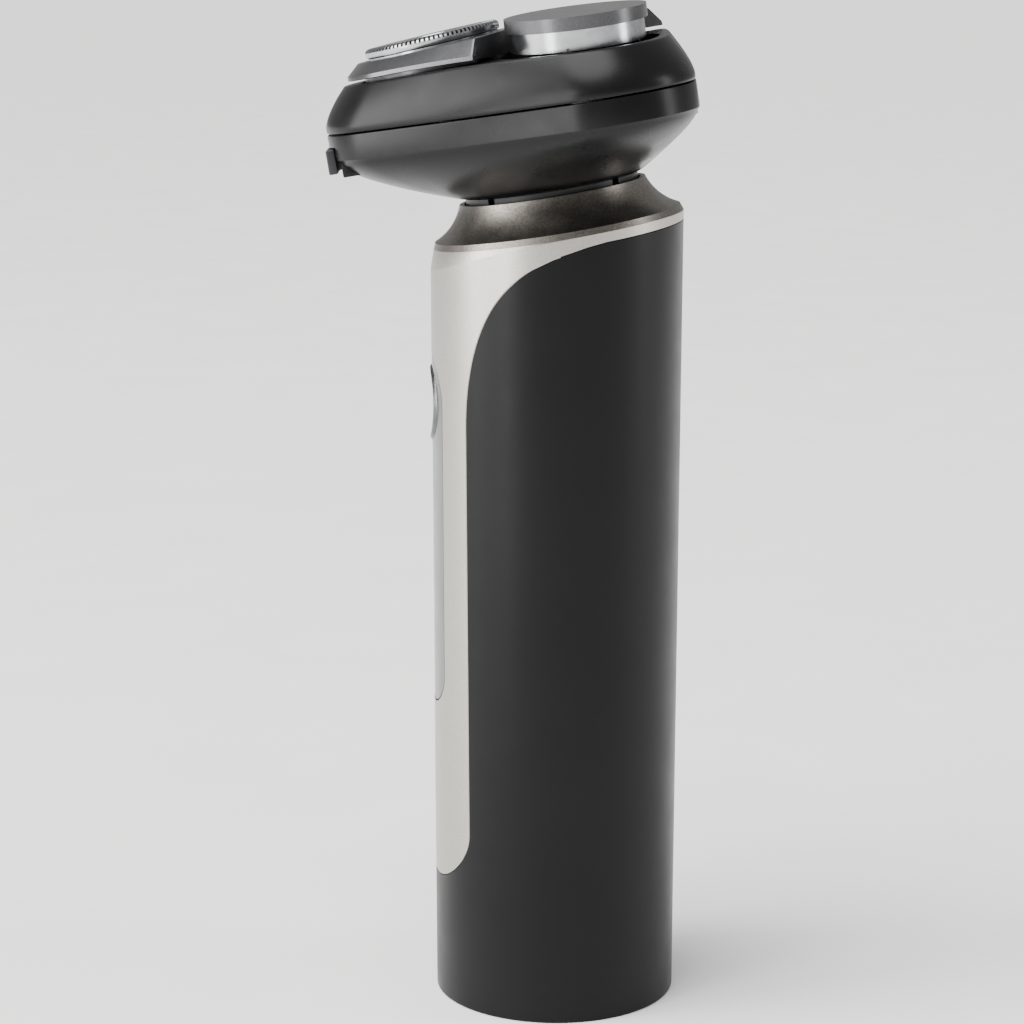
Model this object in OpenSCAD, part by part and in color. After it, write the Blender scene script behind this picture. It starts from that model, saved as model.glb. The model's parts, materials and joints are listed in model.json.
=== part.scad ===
// Cordless rotary shaver: a round handle, a slanted neck and a head with three floating cutters.
// Millimetres. The origin is the centre of the foot, +Z is up, and the button side faces -Y.
// Head parts are drawn in the head's own frame: its Z axis is the tilted drive axis, with zero
// at the rim of the handle. Pod parts are drawn in a pod's frame, with zero at its petal's top.

/* [Handle] */
// Height of the slanted rim above the foot, on the handle's axis
handle_h = 124.4; // [118:0.1:150]
// Outer radius at the foot
foot_r = 19.4; // [18.8:0.1:24]
// Outer radius at the rim
rim_r = 19.85; // [19.4:0.05:24]
// Wall of the outer tube at the foot
wall = 1.6; // [1.2:0.1:1.8]
// Chamfer around the foot
foot_chamfer = 0.4; // [0.2:0.1:0.8]

/* [Front panel] */
// Half the width of the metal front panel
panel_half_w = 13.5; // [11.5:0.1:14.5]
// Lowest point of the panel above the foot
panel_bottom = 20.4; // [15:0.1:28]
// Corner radius at the panel's lower end
panel_corner_r = 9; // [5:0.5:11]
// Drop from the rim to where the panel's sides begin to lean out
sweep_drop = 18.8; // [16:0.1:24]
// Lean of the swept sides from upright
sweep_lean = 22.2; // [18:0.1:26]
// Radius of the bend into the swept sides
sweep_r = 55; // [35:1:60]
// Radius of the bend that meets the rim band
sweep_end_r = 5.4; // [3:0.1:7]
// Height of the metal band all round under the rim
band_h = 1.5; // [1:0.1:2.5]
// Extra slope where the sweep runs into the band
blend_lean = 9.2; // [5:0.1:14]

/* [Display strip and button] */
// Half the width of the glossy display strip
strip_half_w = 7.9; // [7.2:0.1:9.5]
// Lowest point of the strip above the foot
strip_bottom = 49.1; // [40:0.1:60]
// Corner radius at the strip's lower end
strip_corner_r = 5; // [2:0.5:7]
// Thickness of the strip
strip_t = 1.4; // [1:0.1:1.6]
// Drop from the rim to the button's centre
button_drop = 27.4; // [25:0.1:32]
// Radius of the power button
button_r = 6.2; // [5:0.1:6.6]
// How far the button moves when pressed
button_travel = 0.6; // [0.3:0.1:1]
// Depth of the dish in the button
dish_depth = 0.5; // [0.2:0.1:0.8]

/* [Foot and charging port] */
// Thickness of the foot plate
base_t = 3; // [2:0.5:4]
// Height of the foot plug inside the tube
base_h = 9; // [8:0.5:11]
// Width of the charging port's well
port_w = 12.8; // [11:0.1:15]
// Depth of the well, front to back
port_d = 7; // [6.6:0.1:8]
// Height of the well, up to the socket's mouth
port_h = 4.6; // [4.2:0.1:5.5]
// Distance of the port behind the handle's axis
port_back = 9.3; // [8.5:0.1:10]

/* [Works in the handle] */
// Diameter of the battery cell
cell_d = 14.2; // [10:0.1:16]
// Length of the battery cell
cell_l = 50; // [40:1:52]
// Diameter of the motor
motor_d = 20; // [16:0.5:21]
// Length of the motor can
motor_l = 25; // [20:0.5:27]
// Thickness of the circuit boards
board_t = 1; // [0.8:0.1:1.6]
// Distance of the main board's back face in front of the axis
board_front = 11.4; // [10:0.1:12]

/* [Neck] */
// Forward tilt of the head's axis
tilt = 9.3; // [0:0.1:14]
// Height above the rim where the two axes cross
axis_rise = 1.5; // [0:0.1:4]
// Height of the neck above the rim
neck_h = 6.1; // [5.5:0.1:8]
// Radius at the top of the neck
neck_top_r = 14.7; // [14.4:0.1:15.5]
// Radius of the neck's hollow flare
flare_r = 8.8; // [8:0.1:12]
// Radius of the seat for the head's coupling
seat_r = 13.9; // [13.6:0.1:14.1]
// Depth of that seat
seat_depth = 2.1; // [1.5:0.1:3]

/* [Head] */
// Reach of the head's three rounded corners
apex_r = 33.2; // [31.5:0.1:38]
// Reach of the head's three flat sides
flat_r = 24.3; // [23.9:0.1:27]
// Distance of the corner centres from the axis
corner_out = 19.5; // [18:0.1:21]
// Height of the parting line between bowl and cover
parting_w = 20.1; // [19.5:0.1:22]
// Radius of the bowl's round underside
bowl_foot_r = 14; // [13.8:0.1:15]
// Height of the upright band below the parting line
bowl_band_h = 3.9; // [3:0.1:4.5]
// Wall of the bowl and the cover
head_wall = 1.5; // [1.2:0.1:1.8]
// Height of the cover above the parting line
cover_h = 7; // [6.5:0.1:8]
// Extra height of the cover's and petals' edges along the flat sides
edge_rise = 0.6; // [0:0.1:1]

/* [Pods] */
// Distance of the cutters from the head's axis, at the petals' top
ring_r = 14.6; // [14.2:0.1:16]
// Outward lean of each cutter
pod_tilt = 3.9; // [0:0.1:6]
// Height of the petals' top at a cutter's centre
pod_w = 30.95; // [30.5:0.05:33]
// Outer radius of a guard
guard_r = 10.3; // [9.5:0.1:10.5]
// How far a guard stands above its petal
guard_stand = 1.45; // [1:0.05:2]
// Thickness of the guard's metal
guard_t = 0.5; // [0.3:0.1:0.6]
// Number of slots around a guard
slots = 60; // [40:2:80]
// How far a guard can be pushed in
plunge = 0.8; // [0.4:0.1:1]
// Gap between neighbouring petals
petal_gap = 1.1; // [0.8:0.1:1.4]
// Height of the shadow gap under the petals
petal_lift = 0.6; // [0.5:0.05:0.9]
// Direction of the side gaps, forward of square to the handle's front
side_gap_dir = 23.4; // [22:0.1:30]
// Number of blades on a cutter
blades = 15; // [9:1:18]

/* [Gears] */
// Teeth of the central gear
sun_teeth = 21; // [18:1:24]
// Teeth of each outer gear
planet_teeth = 35; // [30:1:36]
// Face width of the gears
gear_h = 2.1; // [1.6:0.1:2.2]
// Play between the flanks of meshing teeth
backlash = 0.16; // [0.1:0.02:0.24]

/* [Clearances] */
// Gap at the seams between outer parts
seam = 0.12; // [0.08:0.01:0.2]
// Radial gap of a shaft that runs in its bearing
run_gap = 0.06; // [0.02:0.01:0.1]
// Gap around a part that slides by hand
slide_gap = 0.1; // [0.06:0.01:0.2]
// Gap at the head's parting line
parting_gap = 0.2; // [0.15:0.01:0.35]
// Radial overlap of pins pressed into plastic
press = 0.02; // [0.01:0.01:0.04]

/* [Hidden] */
$fn = 48;

// Directions of the three pods around the head's axis
FRONT = -90;
RIGHT = 30;
LEFT = 150;
POD_DIRS = [FRONT, RIGHT, LEFT];
// Directions of the gaps at either side of each petal
GAPS_FRONT = [180 + side_gap_dir, 360 - side_gap_dir];
GAPS_RIGHT = [-side_gap_dir, 90];
GAPS_LEFT = [90, 180 + side_gap_dir];
FLAT_DIRS = [90, -30, 210];
eps = 0.01;
far = 80;

// Handle
bore_r = foot_r - wall;
taper = (rim_r - foot_r) / handle_h;
tube_top = handle_h + 8;
button_z = handle_h - button_drop;
button_face_y = -(foot_r + taper * button_z);
plug_r = bore_r - slide_gap;
seal_wire_r = 0.8;
seal_z = 6.2;
socket_w = 8.9;
socket_t = 3.2;
socket_h = 6.4;
chassis_r = bore_r - slide_gap;
chassis_t = 1.5;
chassis_foot = base_h + 0.2;
cell_z = chassis_foot + 4;
chassis_top = cell_z + cell_l + 4;
cell_y = 1.2;
board_foot = chassis_foot + 2.5;
board_top = button_z + 9;
board_half_w = sqrt(pow(bore_r - 0.6, 2) - pow(board_front + board_t, 2));
display_y = bore_r - 1.5;
display_half_w = 6;
switch_size = 6;
switch_t = 2.2;
switch_face_y = -(board_front + board_t + switch_t);
plunger_r = 1.6;
plunger_l = 1;

// Neck, seen along the head's axis
axis_shift = axis_rise * cos(tilt);
flare_centre_w = 9;
flare_centre_r = neck_top_r + sqrt(pow(flare_r, 2) - pow(flare_centre_w - neck_h, 2));
neck_foot_r = rim_r - 0.5;
flare_foot_w = flare_centre_w - sqrt(pow(flare_r, 2) - pow(flare_centre_r - neck_foot_r, 2));
seat_w = neck_h - seat_depth;
post_r = 1.8;
motor_top_w = -6;
motor_foot_w = motor_top_w - motor_l;
can_t = 1;
rotor_r = motor_d / 2 - 3.6;
motor_screw_x = 5.5;
mount_t = 2.6;
mount_r = 15.4;
shaft_r = 1;
coupling_r = 2.5;
coupling_flat = 1.9;
coupling_top_w = 11.4;
post_ring_r = 13.4;
arm_x = 13.6;
arm_t = 1.8;
arm_half_y = 3.2;

// Bowl, gears and spindles
bowl_foot_w = neck_h + 0.8;
band_w = parting_w - bowl_band_h;
floor_t = 2;
gear_w = 12.2;
spindle_r = ring_r - 5.6 * sin(pod_tilt);
gear_module = 2 * spindle_r / (sun_teeth + planet_teeth);
gear_cover_w = 14.7;
gear_cover_t = 1;
sun_hub_r = 4;
pin_r = 1;
pin_foot_w = bowl_foot_w + 1.9;
pin_top_w = 14.3;
boss_r = 2.2;
boss_top_w = 11.6;
hub_r = 2.35;
spindle_top_w = 21;
spring_foot_w = 14.8;
spring_solid_l = 2.6;
spring_l = spring_solid_l + plunge;
drive_r = 1.6;
drive_foot_w = spring_foot_w + spring_l + 0.1;
tip_foot_w = 25.5;
tip_top_w = 27;
tip_foot_r = 1.4;
tip_top_r = 0.9;
tip_flat = 0.95;

// Hinge at the back and latch at the front
hinge_v = flat_r - 1.2;
hinge_w = band_w;
hinge_r = 0.75;
knuckle_r = 1.2;
tab_half_w = 6;
lug_w = 2.8;
latch_half_w = 5;
latch_top_w = 18;
latch_foot_w = 14.2;
latch_t = 1.4;
latch_proud = 0.45;
latch_travel = 0.6;
latch_back_v = -(apex_r + latch_proud - latch_t);
housing_v = latch_back_v + latch_travel + 0.1;
stem_half_w = 2.5;
stem_foot_w = 14.6;
stem_top_w = 16.2;
stem_end_v = housing_v + 2.9;
hook_v = stem_end_v - 0.9;

// Cover, petals, guards and cutters
cover_top_w = parting_w + cover_h;
cover_plate_t = 1.2;
pod_hole_r = 12.1;
skirt_r = 11.5;
skirt_bore_r = 10.9;
petal_bore_r = guard_r + 0.2;
petal_foot_w = cover_top_w + petal_lift;
petal_lip_h = 0.7;
petal_t = 1.6;
petal_out = 0.862;
skirt_foot = -5.6;
trunnion_z = -3.5;
trunnion_r = 0.7;
trunnion_end = pod_hole_r - 0.25;
guard_foot = -3;
flange_r = skirt_bore_r - 0.2;
blade_top = guard_stand - guard_t - 0.1;
disc_top = -1.4;
disc_t = 0.8;
disc_r = guard_r - guard_t - 0.35;
cutter_foot = -5.2;
socket_r = 2.2;
socket_flat = 1.4;
frame_w = 22.6;
frame_t = 1;
SEG = 60;

// Rounded triangle: reach of the head's outline in direction a, for corners at FRONT, RIGHT, LEFT
function side_r() = let(c = apex_r - corner_out, s = corner_out / 2 - flat_r)
    (c * c - s * s - 0.75 * corner_out * corner_out) / (2 * (s + c));
function ray_r(x, y, r, a) = let(b = x * cos(a) + y * sin(a)) b + sqrt(b * b - x * x - y * y + r * r);
function fold(a) = let(b = a - 90) abs(b - 120 * round(b / 120));
function outline_r(a) = let(
        b = fold(a),
        x = flat_r - side_r(),
        kx = corner_out / 2,
        ky = corner_out * sin(60),
        r = ray_r(x, 0, side_r(), b),
        on_side = atan2(r * sin(b), r * cos(b) - x) <= atan2(ky, kx - x)
    ) on_side ? r : ray_r(kx, ky, apex_r - corner_out, b);

// Where the facets of an end cap meet: off the axis, so that none runs along a corner of a wall
CAP_Y = 0.8;

// A ring of the head's skin is [height, core radius, share of the way out to the outline, growth,
// rise along the flat sides]
function ring_pts(g) = [for (i = [0:SEG - 1]) let(
        a = 360 * (i + 0.5) / SEG,
        o = outline_r(a),
        r = g[1] + g[2] * (o + g[3] - g[1]),
        rise = g[4] * (apex_r - o) / (apex_r - flat_r)
    ) [r * cos(a), r * sin(a), g[0] + rise]];
module loft(rings) {
    n = len(rings);
    mid = n * SEG;
    pts = concat([for (g = rings) each ring_pts(g)],
        [[0, CAP_Y, rings[0][0] + rings[0][4]], [0, CAP_Y, rings[n - 1][0] + rings[n - 1][4]]]);
    sides = [for (k = [0:n - 2], i = [0:SEG - 1]) let(j = (i + 1) % SEG, a = k * SEG, b = a + SEG)
        each [[a + i, b + i, b + j], [a + i, b + j, a + j]]];
    foot = [for (i = [0:SEG - 1]) [mid, i, (i + 1) % SEG]];
    top = [for (i = [0:SEG - 1]) let(a = (n - 1) * SEG) [mid + 1, a + (i + 1) % SEG, a + i]];
    polyhedron(pts, concat(foot, sides, top));
}

// Share of the way out at height t (0 to 1) up the bowl's side
function bowl_out(t) = 0.985 * (1 - pow(1 - t, 1.5));
// Rings up the bowl's side: growth g moves the skin in or out, lift raises it
function bowl_rings(g, lift, steps) = [for (i = [0:steps]) let(t = i / steps)
    [bowl_foot_w + lift + t * (band_w - bowl_foot_w - lift), bowl_foot_r + g, bowl_out(t), g, 0]];
// Share of the outline kept at height h above the parting line, up the cover's rounded side
function cover_out(h) = h < 1 ? 1 : 1 - 0.12 * pow((h - 1) / 6, 1.45);
function cover_rings(h0, h1, g, steps) = [for (i = [0:steps]) let(h = h0 + (h1 - h0) * i / steps)
    [parting_w + h, 0, cover_out(h), g, edge_rise * pow(max(h, 0) / cover_h, 2)]];

// Frames
module head() {
    translate([0, 0, handle_h + axis_rise]) rotate([tilt, 0, 0]) translate([0, 0, -axis_shift]) children();
}
module pod(dir) {
    head() rotate([0, 0, dir]) translate([ring_r, 0, pod_w]) rotate([0, pod_tilt, 0]) children();
}
module at_spindle(dir) {
    head() rotate([0, 0, dir]) translate([spindle_r, 0, 0]) rotate([0, 0, -dir]) children();
}
// Solid cylinder between two heights
module rod(r, z0, z1) {
    translate([0, 0, z0]) cylinder(r = r, h = z1 - z0);
}
module tube(r_out, r_in, z0, z1) {
    difference() {
        rod(r_out, z0, z1);
        rod(r_in, z0 - 1, z1 + 1);
    }
}
module box(x0, x1, y0, y1, z0, z1) {
    translate([x0, y0, z0]) cube([x1 - x0, y1 - y0, z1 - z0]);
}
// Cylinder with two flats, as a drive uses
module flatted(r, flat, z0, z1) {
    intersection() {
        rod(r, z0, z1);
        box(-r - 1, r + 1, -flat, flat, z0 - 1, z1 + 1);
    }
}
// Closely wound spring along Z
module coil(r, wire_r, z0, z1) {
    n = round((z1 - z0 - 2 * wire_r) / (1.9 * wire_r));
    step = (z1 - z0 - 2 * wire_r) / n;
    for (i = [0:n])
        translate([0, 0, z0 + wire_r + i * step])
            rotate_extrude() translate([r - wire_r, 0]) circle(r = wire_r, $fn = 16);
}

// Handle
module handle_tube(shrink, r_in) {
    r0 = foot_r - shrink;
    r1 = foot_r + taper * tube_top - shrink;
    rotate_extrude($fn = 96)
        polygon([[r_in, 0], [r0 - foot_chamfer, 0], [r0, foot_chamfer], [r1, tube_top], [r_in, tube_top]]);
}
module below_rim(drop) {
    head() box(-far, far, -far, far, -2 * far, -drop);
}
// Arc from angle a0 to a1 about a centre
function arc(x, y, r, a0, a1, n) = [for (i = [0:n]) let(a = a0 + (a1 - a0) * i / n)
    [x + r * cos(a), y + r * sin(a)]];
function mirrored(p) = [for (i = [len(p) - 1:-1:0]) [-p[i][0], p[i][1]]];

// Height at which the swept edge turns upright again, at the handle's side
function sweep_end_z() = handle_h - sweep_drop + sweep_end_r * sin(sweep_lean)
    + (rim_r - sweep_end_r * (1 - cos(sweep_lean)) - panel_half_w) / tan(sweep_lean);
// Height of the swept edge at the widest point of the handle
function panel_side_z() = let(z = sweep_end_z(), inset = rim_r - foot_r - taper * z)
    z - sqrt(2 * sweep_end_r * max(0, inset));
// Right edge of the panel from its lower end to above the rim, grown by g
function panel_edge(g) = let(
        w = panel_half_w,
        c = panel_corner_r,
        bend_z = handle_h - sweep_drop,
        bend_t = sweep_r * tan(sweep_lean / 2),
        end_x = rim_r - sweep_end_r,
        end_z = sweep_end_z()
    ) concat(
        arc(w - c, panel_bottom + c, c + g, -90, 0, 8),
        arc(w + sweep_r, bend_z - bend_t, sweep_r - g, 180, 180 - sweep_lean, 8),
        arc(end_x, end_z, sweep_end_r + g, -sweep_lean, 0, 4),
        [[rim_r + g, handle_h + far]]
    );
module panel_prism(g) {
    edge = panel_edge(g);
    rotate([90, 0, 0]) linear_extrude(height = far) polygon(concat(edge, mirrored(edge)));
}
// Everything above the lower edge of the metal skin, with that edge moved down by g
module metal_region(g) {
    panel_prism(g);
    head() box(-far, far, -far, far, -band_h - g, far);
    translate([0, 0, panel_side_z() - g]) rotate([tilt + blend_lean, 0, 0])
        box(-far, far, -far, far, 0, far);
}
function strip_edge(g) = concat(
    arc(strip_half_w - strip_corner_r, strip_bottom + strip_corner_r, strip_corner_r + g, -90, 0, 6),
    arc(0, button_z, strip_half_w + g, 0, 90, 12)
);
module strip_prism(g) {
    edge = strip_edge(g);
    rotate([90, 0, 0]) linear_extrude(height = far) polygon(concat(edge, mirrored(edge)));
}

module body_sleeve() {
    color("#262626") difference() {
        handle_tube(0, bore_r);
        metal_region(seam);
    }
}
module front_panel() {
    color("#bdb9b1") difference() {
        intersection() {
            handle_tube(0, bore_r);
            below_rim(0);
            metal_region(0);
        }
        strip_prism(seam);
    }
}
module display_strip() {
    color("#8f8f8f") difference() {
        intersection() {
            difference() {
                handle_tube(0.05, 1);
                handle_tube(strip_t, 0);
            }
            strip_prism(0);
        }
        translate([0, 0, button_z]) rotate([90, 0, 0]) rod(button_r + slide_gap, 0, far);
    }
}

// Foot
module base_cap() {
    color("#1c1c1c") difference() {
        union() {
            rod(plug_r, 0, base_t);
            tube(plug_r, plug_r - 2.4, 0, base_h);
            box(-port_w / 2 - 1.2, port_w / 2 + 1.2, port_back - port_d / 2 - 1.2,
                port_back + port_d / 2 + 1.2, 0, port_h + 1.6);
        }
        box(-port_w / 2, port_w / 2, port_back - port_d / 2, port_back + port_d / 2, -1, port_h);
        translate([0, port_back, 0]) stadium(socket_w, socket_t, port_h - 1, far);
        translate([0, 0, seal_z]) rotate_extrude() translate([plug_r, 0]) circle(r = seal_wire_r, $fn = 16);
    }
}
module base_seal() {
    color("#30302e") translate([0, 0, seal_z])
        rotate_extrude() translate([plug_r, 0]) intersection() {
            circle(r = seal_wire_r, $fn = 16);
            translate([-2, -2]) square([2 + slide_gap, 4]);
        }
}
module stadium(w, t, z0, z1) {
    translate([0, 0, z0]) linear_extrude(height = z1 - z0) union() {
        square([w - t, t], center = true);
        for (s = [-1, 1]) translate([s * (w - t) / 2, 0]) circle(d = t, $fn = 32);
    }
}
module charge_inlet() {
    color("silver") translate([0, port_back, 0]) {
        difference() {
            stadium(socket_w, socket_t, port_h, port_h + socket_h);
            stadium(socket_w - 0.6, socket_t - 0.6, port_h - 1, port_h + socket_h - 1);
        }
        box(-3.3, 3.3, -0.35, 0.35, port_h + 0.8, port_h + socket_h - 0.5);
    }
}
module charge_board() {
    z0 = port_h + socket_h;
    color("#1f5c3a") intersection() {
        rod(bore_r - 4, z0, z0 + board_t);
        box(-9, 9, 3, far, 0, far);
    }
}

// Works
module chassis() {
    color("#3a3d40") {
        difference() {
            union() {
                difference() {
                    rod(chassis_r, chassis_foot, chassis_top);
                    rod(chassis_r - chassis_t, chassis_foot - 1, chassis_top + 1);
                }
                for (z = [cell_z - chassis_t, cell_z + cell_l - 6, chassis_top - chassis_t])
                    rod(chassis_r - chassis_t / 2, z, z + chassis_t);
            }
            box(-far, far, -far, -board_front, 0, far * 3);
            translate([0, cell_y, 0]) rod(cell_d / 2 + slide_gap, cell_z, chassis_top - chassis_t);
            box(-7, 7, 6, far, cell_z + 4, cell_z + cell_l - 10);
            box(-9.2, 9.2, 3, far, 0, port_h + socket_h + board_t + 0.2);
        }
        difference() {
            for (s = [-1, 1])
                translate([s * (arm_x + arm_t / 2), 0, 0])
                    box(-arm_t / 2, arm_t / 2, -arm_half_y, arm_half_y, chassis_top - chassis_t, handle_h);
            head() box(-far, far, -far, far, motor_top_w, far);
        }
    }
}
module battery() {
    color("#2f6fb0") translate([0, cell_y, 0]) {
        rod(cell_d / 2, cell_z, cell_z + cell_l - 1);
        rod(cell_d / 5, cell_z, cell_z + cell_l);
    }
}
module main_board() {
    color("#1f5c3a") {
        box(-board_half_w, board_half_w, -board_front - board_t, -board_front, board_foot, board_top);
        for (i = [0:3]) {
            z = board_foot + 8 + i * 14;
            box(-4 + i % 2, 3 + i % 2, -board_front - board_t - 1.2, -board_front - board_t, z, z + 6);
        }
    }
}
module display_board() {
    color("#24463a") {
        box(-display_half_w, display_half_w, -display_y, -display_y + board_t,
            strip_bottom + 3, button_z - button_r - 3);
        for (z = [strip_bottom + 4, button_z - button_r - 6], s = [-1, 1])
            translate([s * (display_half_w - 0.6), 0, 0])
                box(-0.6, 0.6, -display_y + board_t, -board_front - board_t, z, z + 2);
    }
}
module tact_switch() {
    h = switch_size / 2;
    color("#9a9a9a") difference() {
        box(-h, h, switch_face_y, -board_front - board_t, button_z - h, button_z + h);
        translate([0, 0, button_z]) rotate([90, 0, 0]) rod(plunger_r + slide_gap, 0, far);
    }
}
module motor() {
    color("#b8bcc0") head() difference() {
        union() {
            rod(motor_d / 2, motor_foot_w, motor_top_w);
            rod(3, motor_top_w, motor_top_w + 1.4);
            rod(3.5, motor_foot_w - 1.2, motor_foot_w);
        }
        rod(motor_d / 2 - can_t, motor_foot_w + 3, motor_top_w - can_t);
        rod(shaft_r + run_gap, motor_foot_w + 1, motor_top_w + 2);
        for (s = [-1, 1]) translate([s * motor_screw_x, 0, 0]) rod(0.85, motor_top_w - 3, motor_top_w + 1);
    }
}
module motor_magnets() {
    color("#4c4c50") head() difference() {
        tube(motor_d / 2 - can_t, rotor_r + 0.4, motor_foot_w + 4, motor_top_w - 3.5);
        box(-2, 2, -far, far, motor_foot_w, motor_top_w);
    }
}
module rotor() {
    color("#a4703c") head() difference() {
        rod(rotor_r, motor_foot_w + 4, motor_top_w - 3.5);
        rod(shaft_r - press, motor_foot_w, motor_top_w);
        for (i = [0:4]) rotate([0, 0, 72 * i]) box(rotor_r - 2, far, -0.6, 0.6, motor_foot_w, motor_top_w);
    }
}
module motor_mount() {
    color("#4a4e52") head() difference() {
        union() {
            rod(mount_r, motor_top_w, motor_top_w + mount_t);
            tube(motor_d / 2 + 1.3, motor_d / 2, motor_top_w - 8, motor_top_w + 1);
        }
        rod(3.1, motor_top_w - 1, motor_top_w + mount_t + 1);
        for (s = [-1, 1]) translate([s * motor_screw_x, 0, 0]) {
            rod(1.05, motor_top_w - 1, motor_top_w + mount_t + 1);
            rod(2, motor_top_w + 1.4, motor_top_w + mount_t + 1);
        }
        for (d = FLAT_DIRS) rotate([0, 0, d]) translate([post_ring_r, 0, 0])
            rod(1.05, motor_top_w - 1, motor_top_w + mount_t + 1);
    }
}
module screw(z0, l, up) {
    rod(up ? 0.8 : 1, z0, z0 + l);
    rod(1.8, up ? z0 + l : z0 - 1.1, up ? z0 + l + 1.1 : z0);
}
module motor_screws() {
    color("silver") head() for (s = [-1, 1]) translate([s * motor_screw_x, 0, 0])
        screw(motor_top_w - 2.6, 4, true);
}
module neck_screws() {
    color("silver") head() for (d = FLAT_DIRS) rotate([0, 0, d]) translate([post_ring_r, 0, 0])
        screw(motor_top_w, 6, false);
}
module motor_shaft() {
    color("#c8ccd0") head() rod(shaft_r, motor_foot_w + 1.5, coupling_top_w - 2);
}
module drive_coupling() {
    color("#e8e4d8") head() difference() {
        union() {
            rod(3.2, seat_w + 0.3, seat_w + 1.6);
            flatted(coupling_r, coupling_flat, seat_w + 1.2, coupling_top_w);
        }
        rod(shaft_r - press, seat_w - 1, coupling_top_w - 2 + press);
    }
}

// Neck
module neck_collar() {
    foot_a = acos((flare_centre_r - neck_foot_r) / flare_r);
    top_a = asin((flare_centre_w - neck_h) / flare_r);
    color("#a9a69f") head() difference() {
        union() {
            difference() {
                union() {
                    rotate_extrude($fn = 96) polygon(concat(
                        [[0, 0], [neck_foot_r, 0]],
                        arc(flare_centre_r, flare_centre_w, flare_r, 180 + foot_a, 180 + top_a, 14),
                        [[neck_top_r - 0.15, neck_h], [0, neck_h]]));
                    rod(mount_r, motor_top_w + mount_t, 1);
                }
                rod(seat_r, seat_w, neck_h + 1);
                rod(mount_r - 1.4, motor_top_w + mount_t - 1, seat_w - 1.6);
                rod(2.2, 0, far);
                rod(3.6, seat_w - 1.7, seat_w - 0.6);
            }
            for (d = FLAT_DIRS) rotate([0, 0, d]) translate([post_ring_r, 0, 0])
                rod(post_r, motor_top_w + mount_t - eps, seat_w - 1.5);
        }
        for (d = FLAT_DIRS) rotate([0, 0, d]) translate([post_ring_r, 0, 0])
            rod(1 - press, motor_top_w, 1);
    }
}
module shaft_seal() {
    color("#202020") head() tube(3.6, shaft_r + run_gap, seat_w - 1.7, seat_w - 0.6);
}

// Power button
module power_button() {
    dish_r = (pow(button_r, 2) + pow(dish_depth, 2)) / (2 * dish_depth);
    flange_r = button_r + 1;
    flange_y = sqrt(pow(-button_face_y - strip_t, 2) - pow(flange_r, 2)) - slide_gap;
    color("#8a8a8a") difference() {
        union() {
            intersection() {
                handle_tube(-0.35, 0);
                translate([0, 0, button_z]) rotate([90, 0, 0]) rod(button_r, flange_y - 0.4, far);
            }
            translate([0, 0, button_z]) rotate([90, 0, 0]) {
                rod(flange_r, flange_y - 0.7, flange_y);
                rod(2.2, -switch_face_y + plunger_l, flange_y);
            }
        }
        translate([0, button_face_y - 0.35 - dish_r + dish_depth, button_z])
            sphere(r = dish_r, $fn = 96);
    }
}
module switch_plunger() {
    color("#202020") translate([0, 0, button_z]) rotate([90, 0, 0])
        rod(plunger_r, board_front + board_t + button_travel + 0.6, -switch_face_y + plunger_l);
}

// Head base
module coupling_ring() {
    color("#2b2b2b") head() difference() {
        tube(seat_r - 0.3, seat_r - 2.6, seat_w + 0.3, bowl_foot_w);
        for (i = [0:11]) rotate([0, 0, i * 30 + 15])
            box(seat_r - 1.1, seat_r + 1, -1.2, 1.2, neck_h + 0.1, bowl_foot_w - 0.2);
    }
}
module hair_chamber() {
    in_lift = floor_t;
    inner_band = -head_wall;
    color("#1d1d1f") head() difference() {
        union() {
            difference() {
                loft(concat(bowl_rings(0, 0, 8), [[band_w + 0.2, 0, 1, 0, 0], [parting_w, 0, 1, 0, 0]]));
                loft(concat(bowl_rings(inner_band, in_lift, 6), [[parting_w + 1, 0, 1, inner_band, 0]]));
                box(-tab_half_w - 0.2, tab_half_w + 0.2, hinge_v - 1.4, far, hinge_w - 1.5, far);
                box(-latch_half_w - 0.6, latch_half_w + 0.6, -far, housing_v,
                    latch_foot_w - 1, latch_top_w + 0.2);
            }
            for (s = [-1, 1]) translate([s * (tab_half_w + 0.2 + lug_w / 2), 0, 0])
                box(-lug_w / 2, lug_w / 2, hinge_v - 1.7, hinge_v + 0.6, hinge_w - 1.6, hinge_w + 1.6);
            for (d = POD_DIRS) rotate([0, 0, d]) translate([spindle_r, 0, 0])
                rod(boss_r, bowl_foot_w + 1.4, boss_top_w);
            for (d = FLAT_DIRS) rotate([0, 0, d]) translate([17.3, 0, 0])
                rod(1.5, bowl_foot_w + 3.2, gear_cover_w);
            box(-latch_half_w - 0.5, latch_half_w + 0.5, housing_v, housing_v + 1.7,
                latch_foot_w - 0.7, latch_top_w + 0.5);
            box(-latch_half_w - 0.5, latch_half_w + 0.5, housing_v, housing_v + 4.3,
                latch_foot_w - 0.7, stem_foot_w - 0.1);
            box(-3, 3, stem_end_v + 2, stem_end_v + 3, stem_foot_w - 1.6, stem_top_w + 0.6);
        }
        rod(sun_hub_r + run_gap, 0, far);
        for (d = POD_DIRS) rotate([0, 0, d]) translate([spindle_r, 0, 0])
            rod(pin_r - press, pin_foot_w, far);
        translate([0, hinge_v, hinge_w]) rotate([0, 90, 0])
            rod(hinge_r - press, -tab_half_w - lug_w + 0.4, tab_half_w + lug_w - 0.4);
        box(-stem_half_w - slide_gap, stem_half_w + slide_gap, housing_v - 1, housing_v + 3,
            stem_foot_w - slide_gap, stem_top_w + slide_gap);
    }
}
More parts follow.
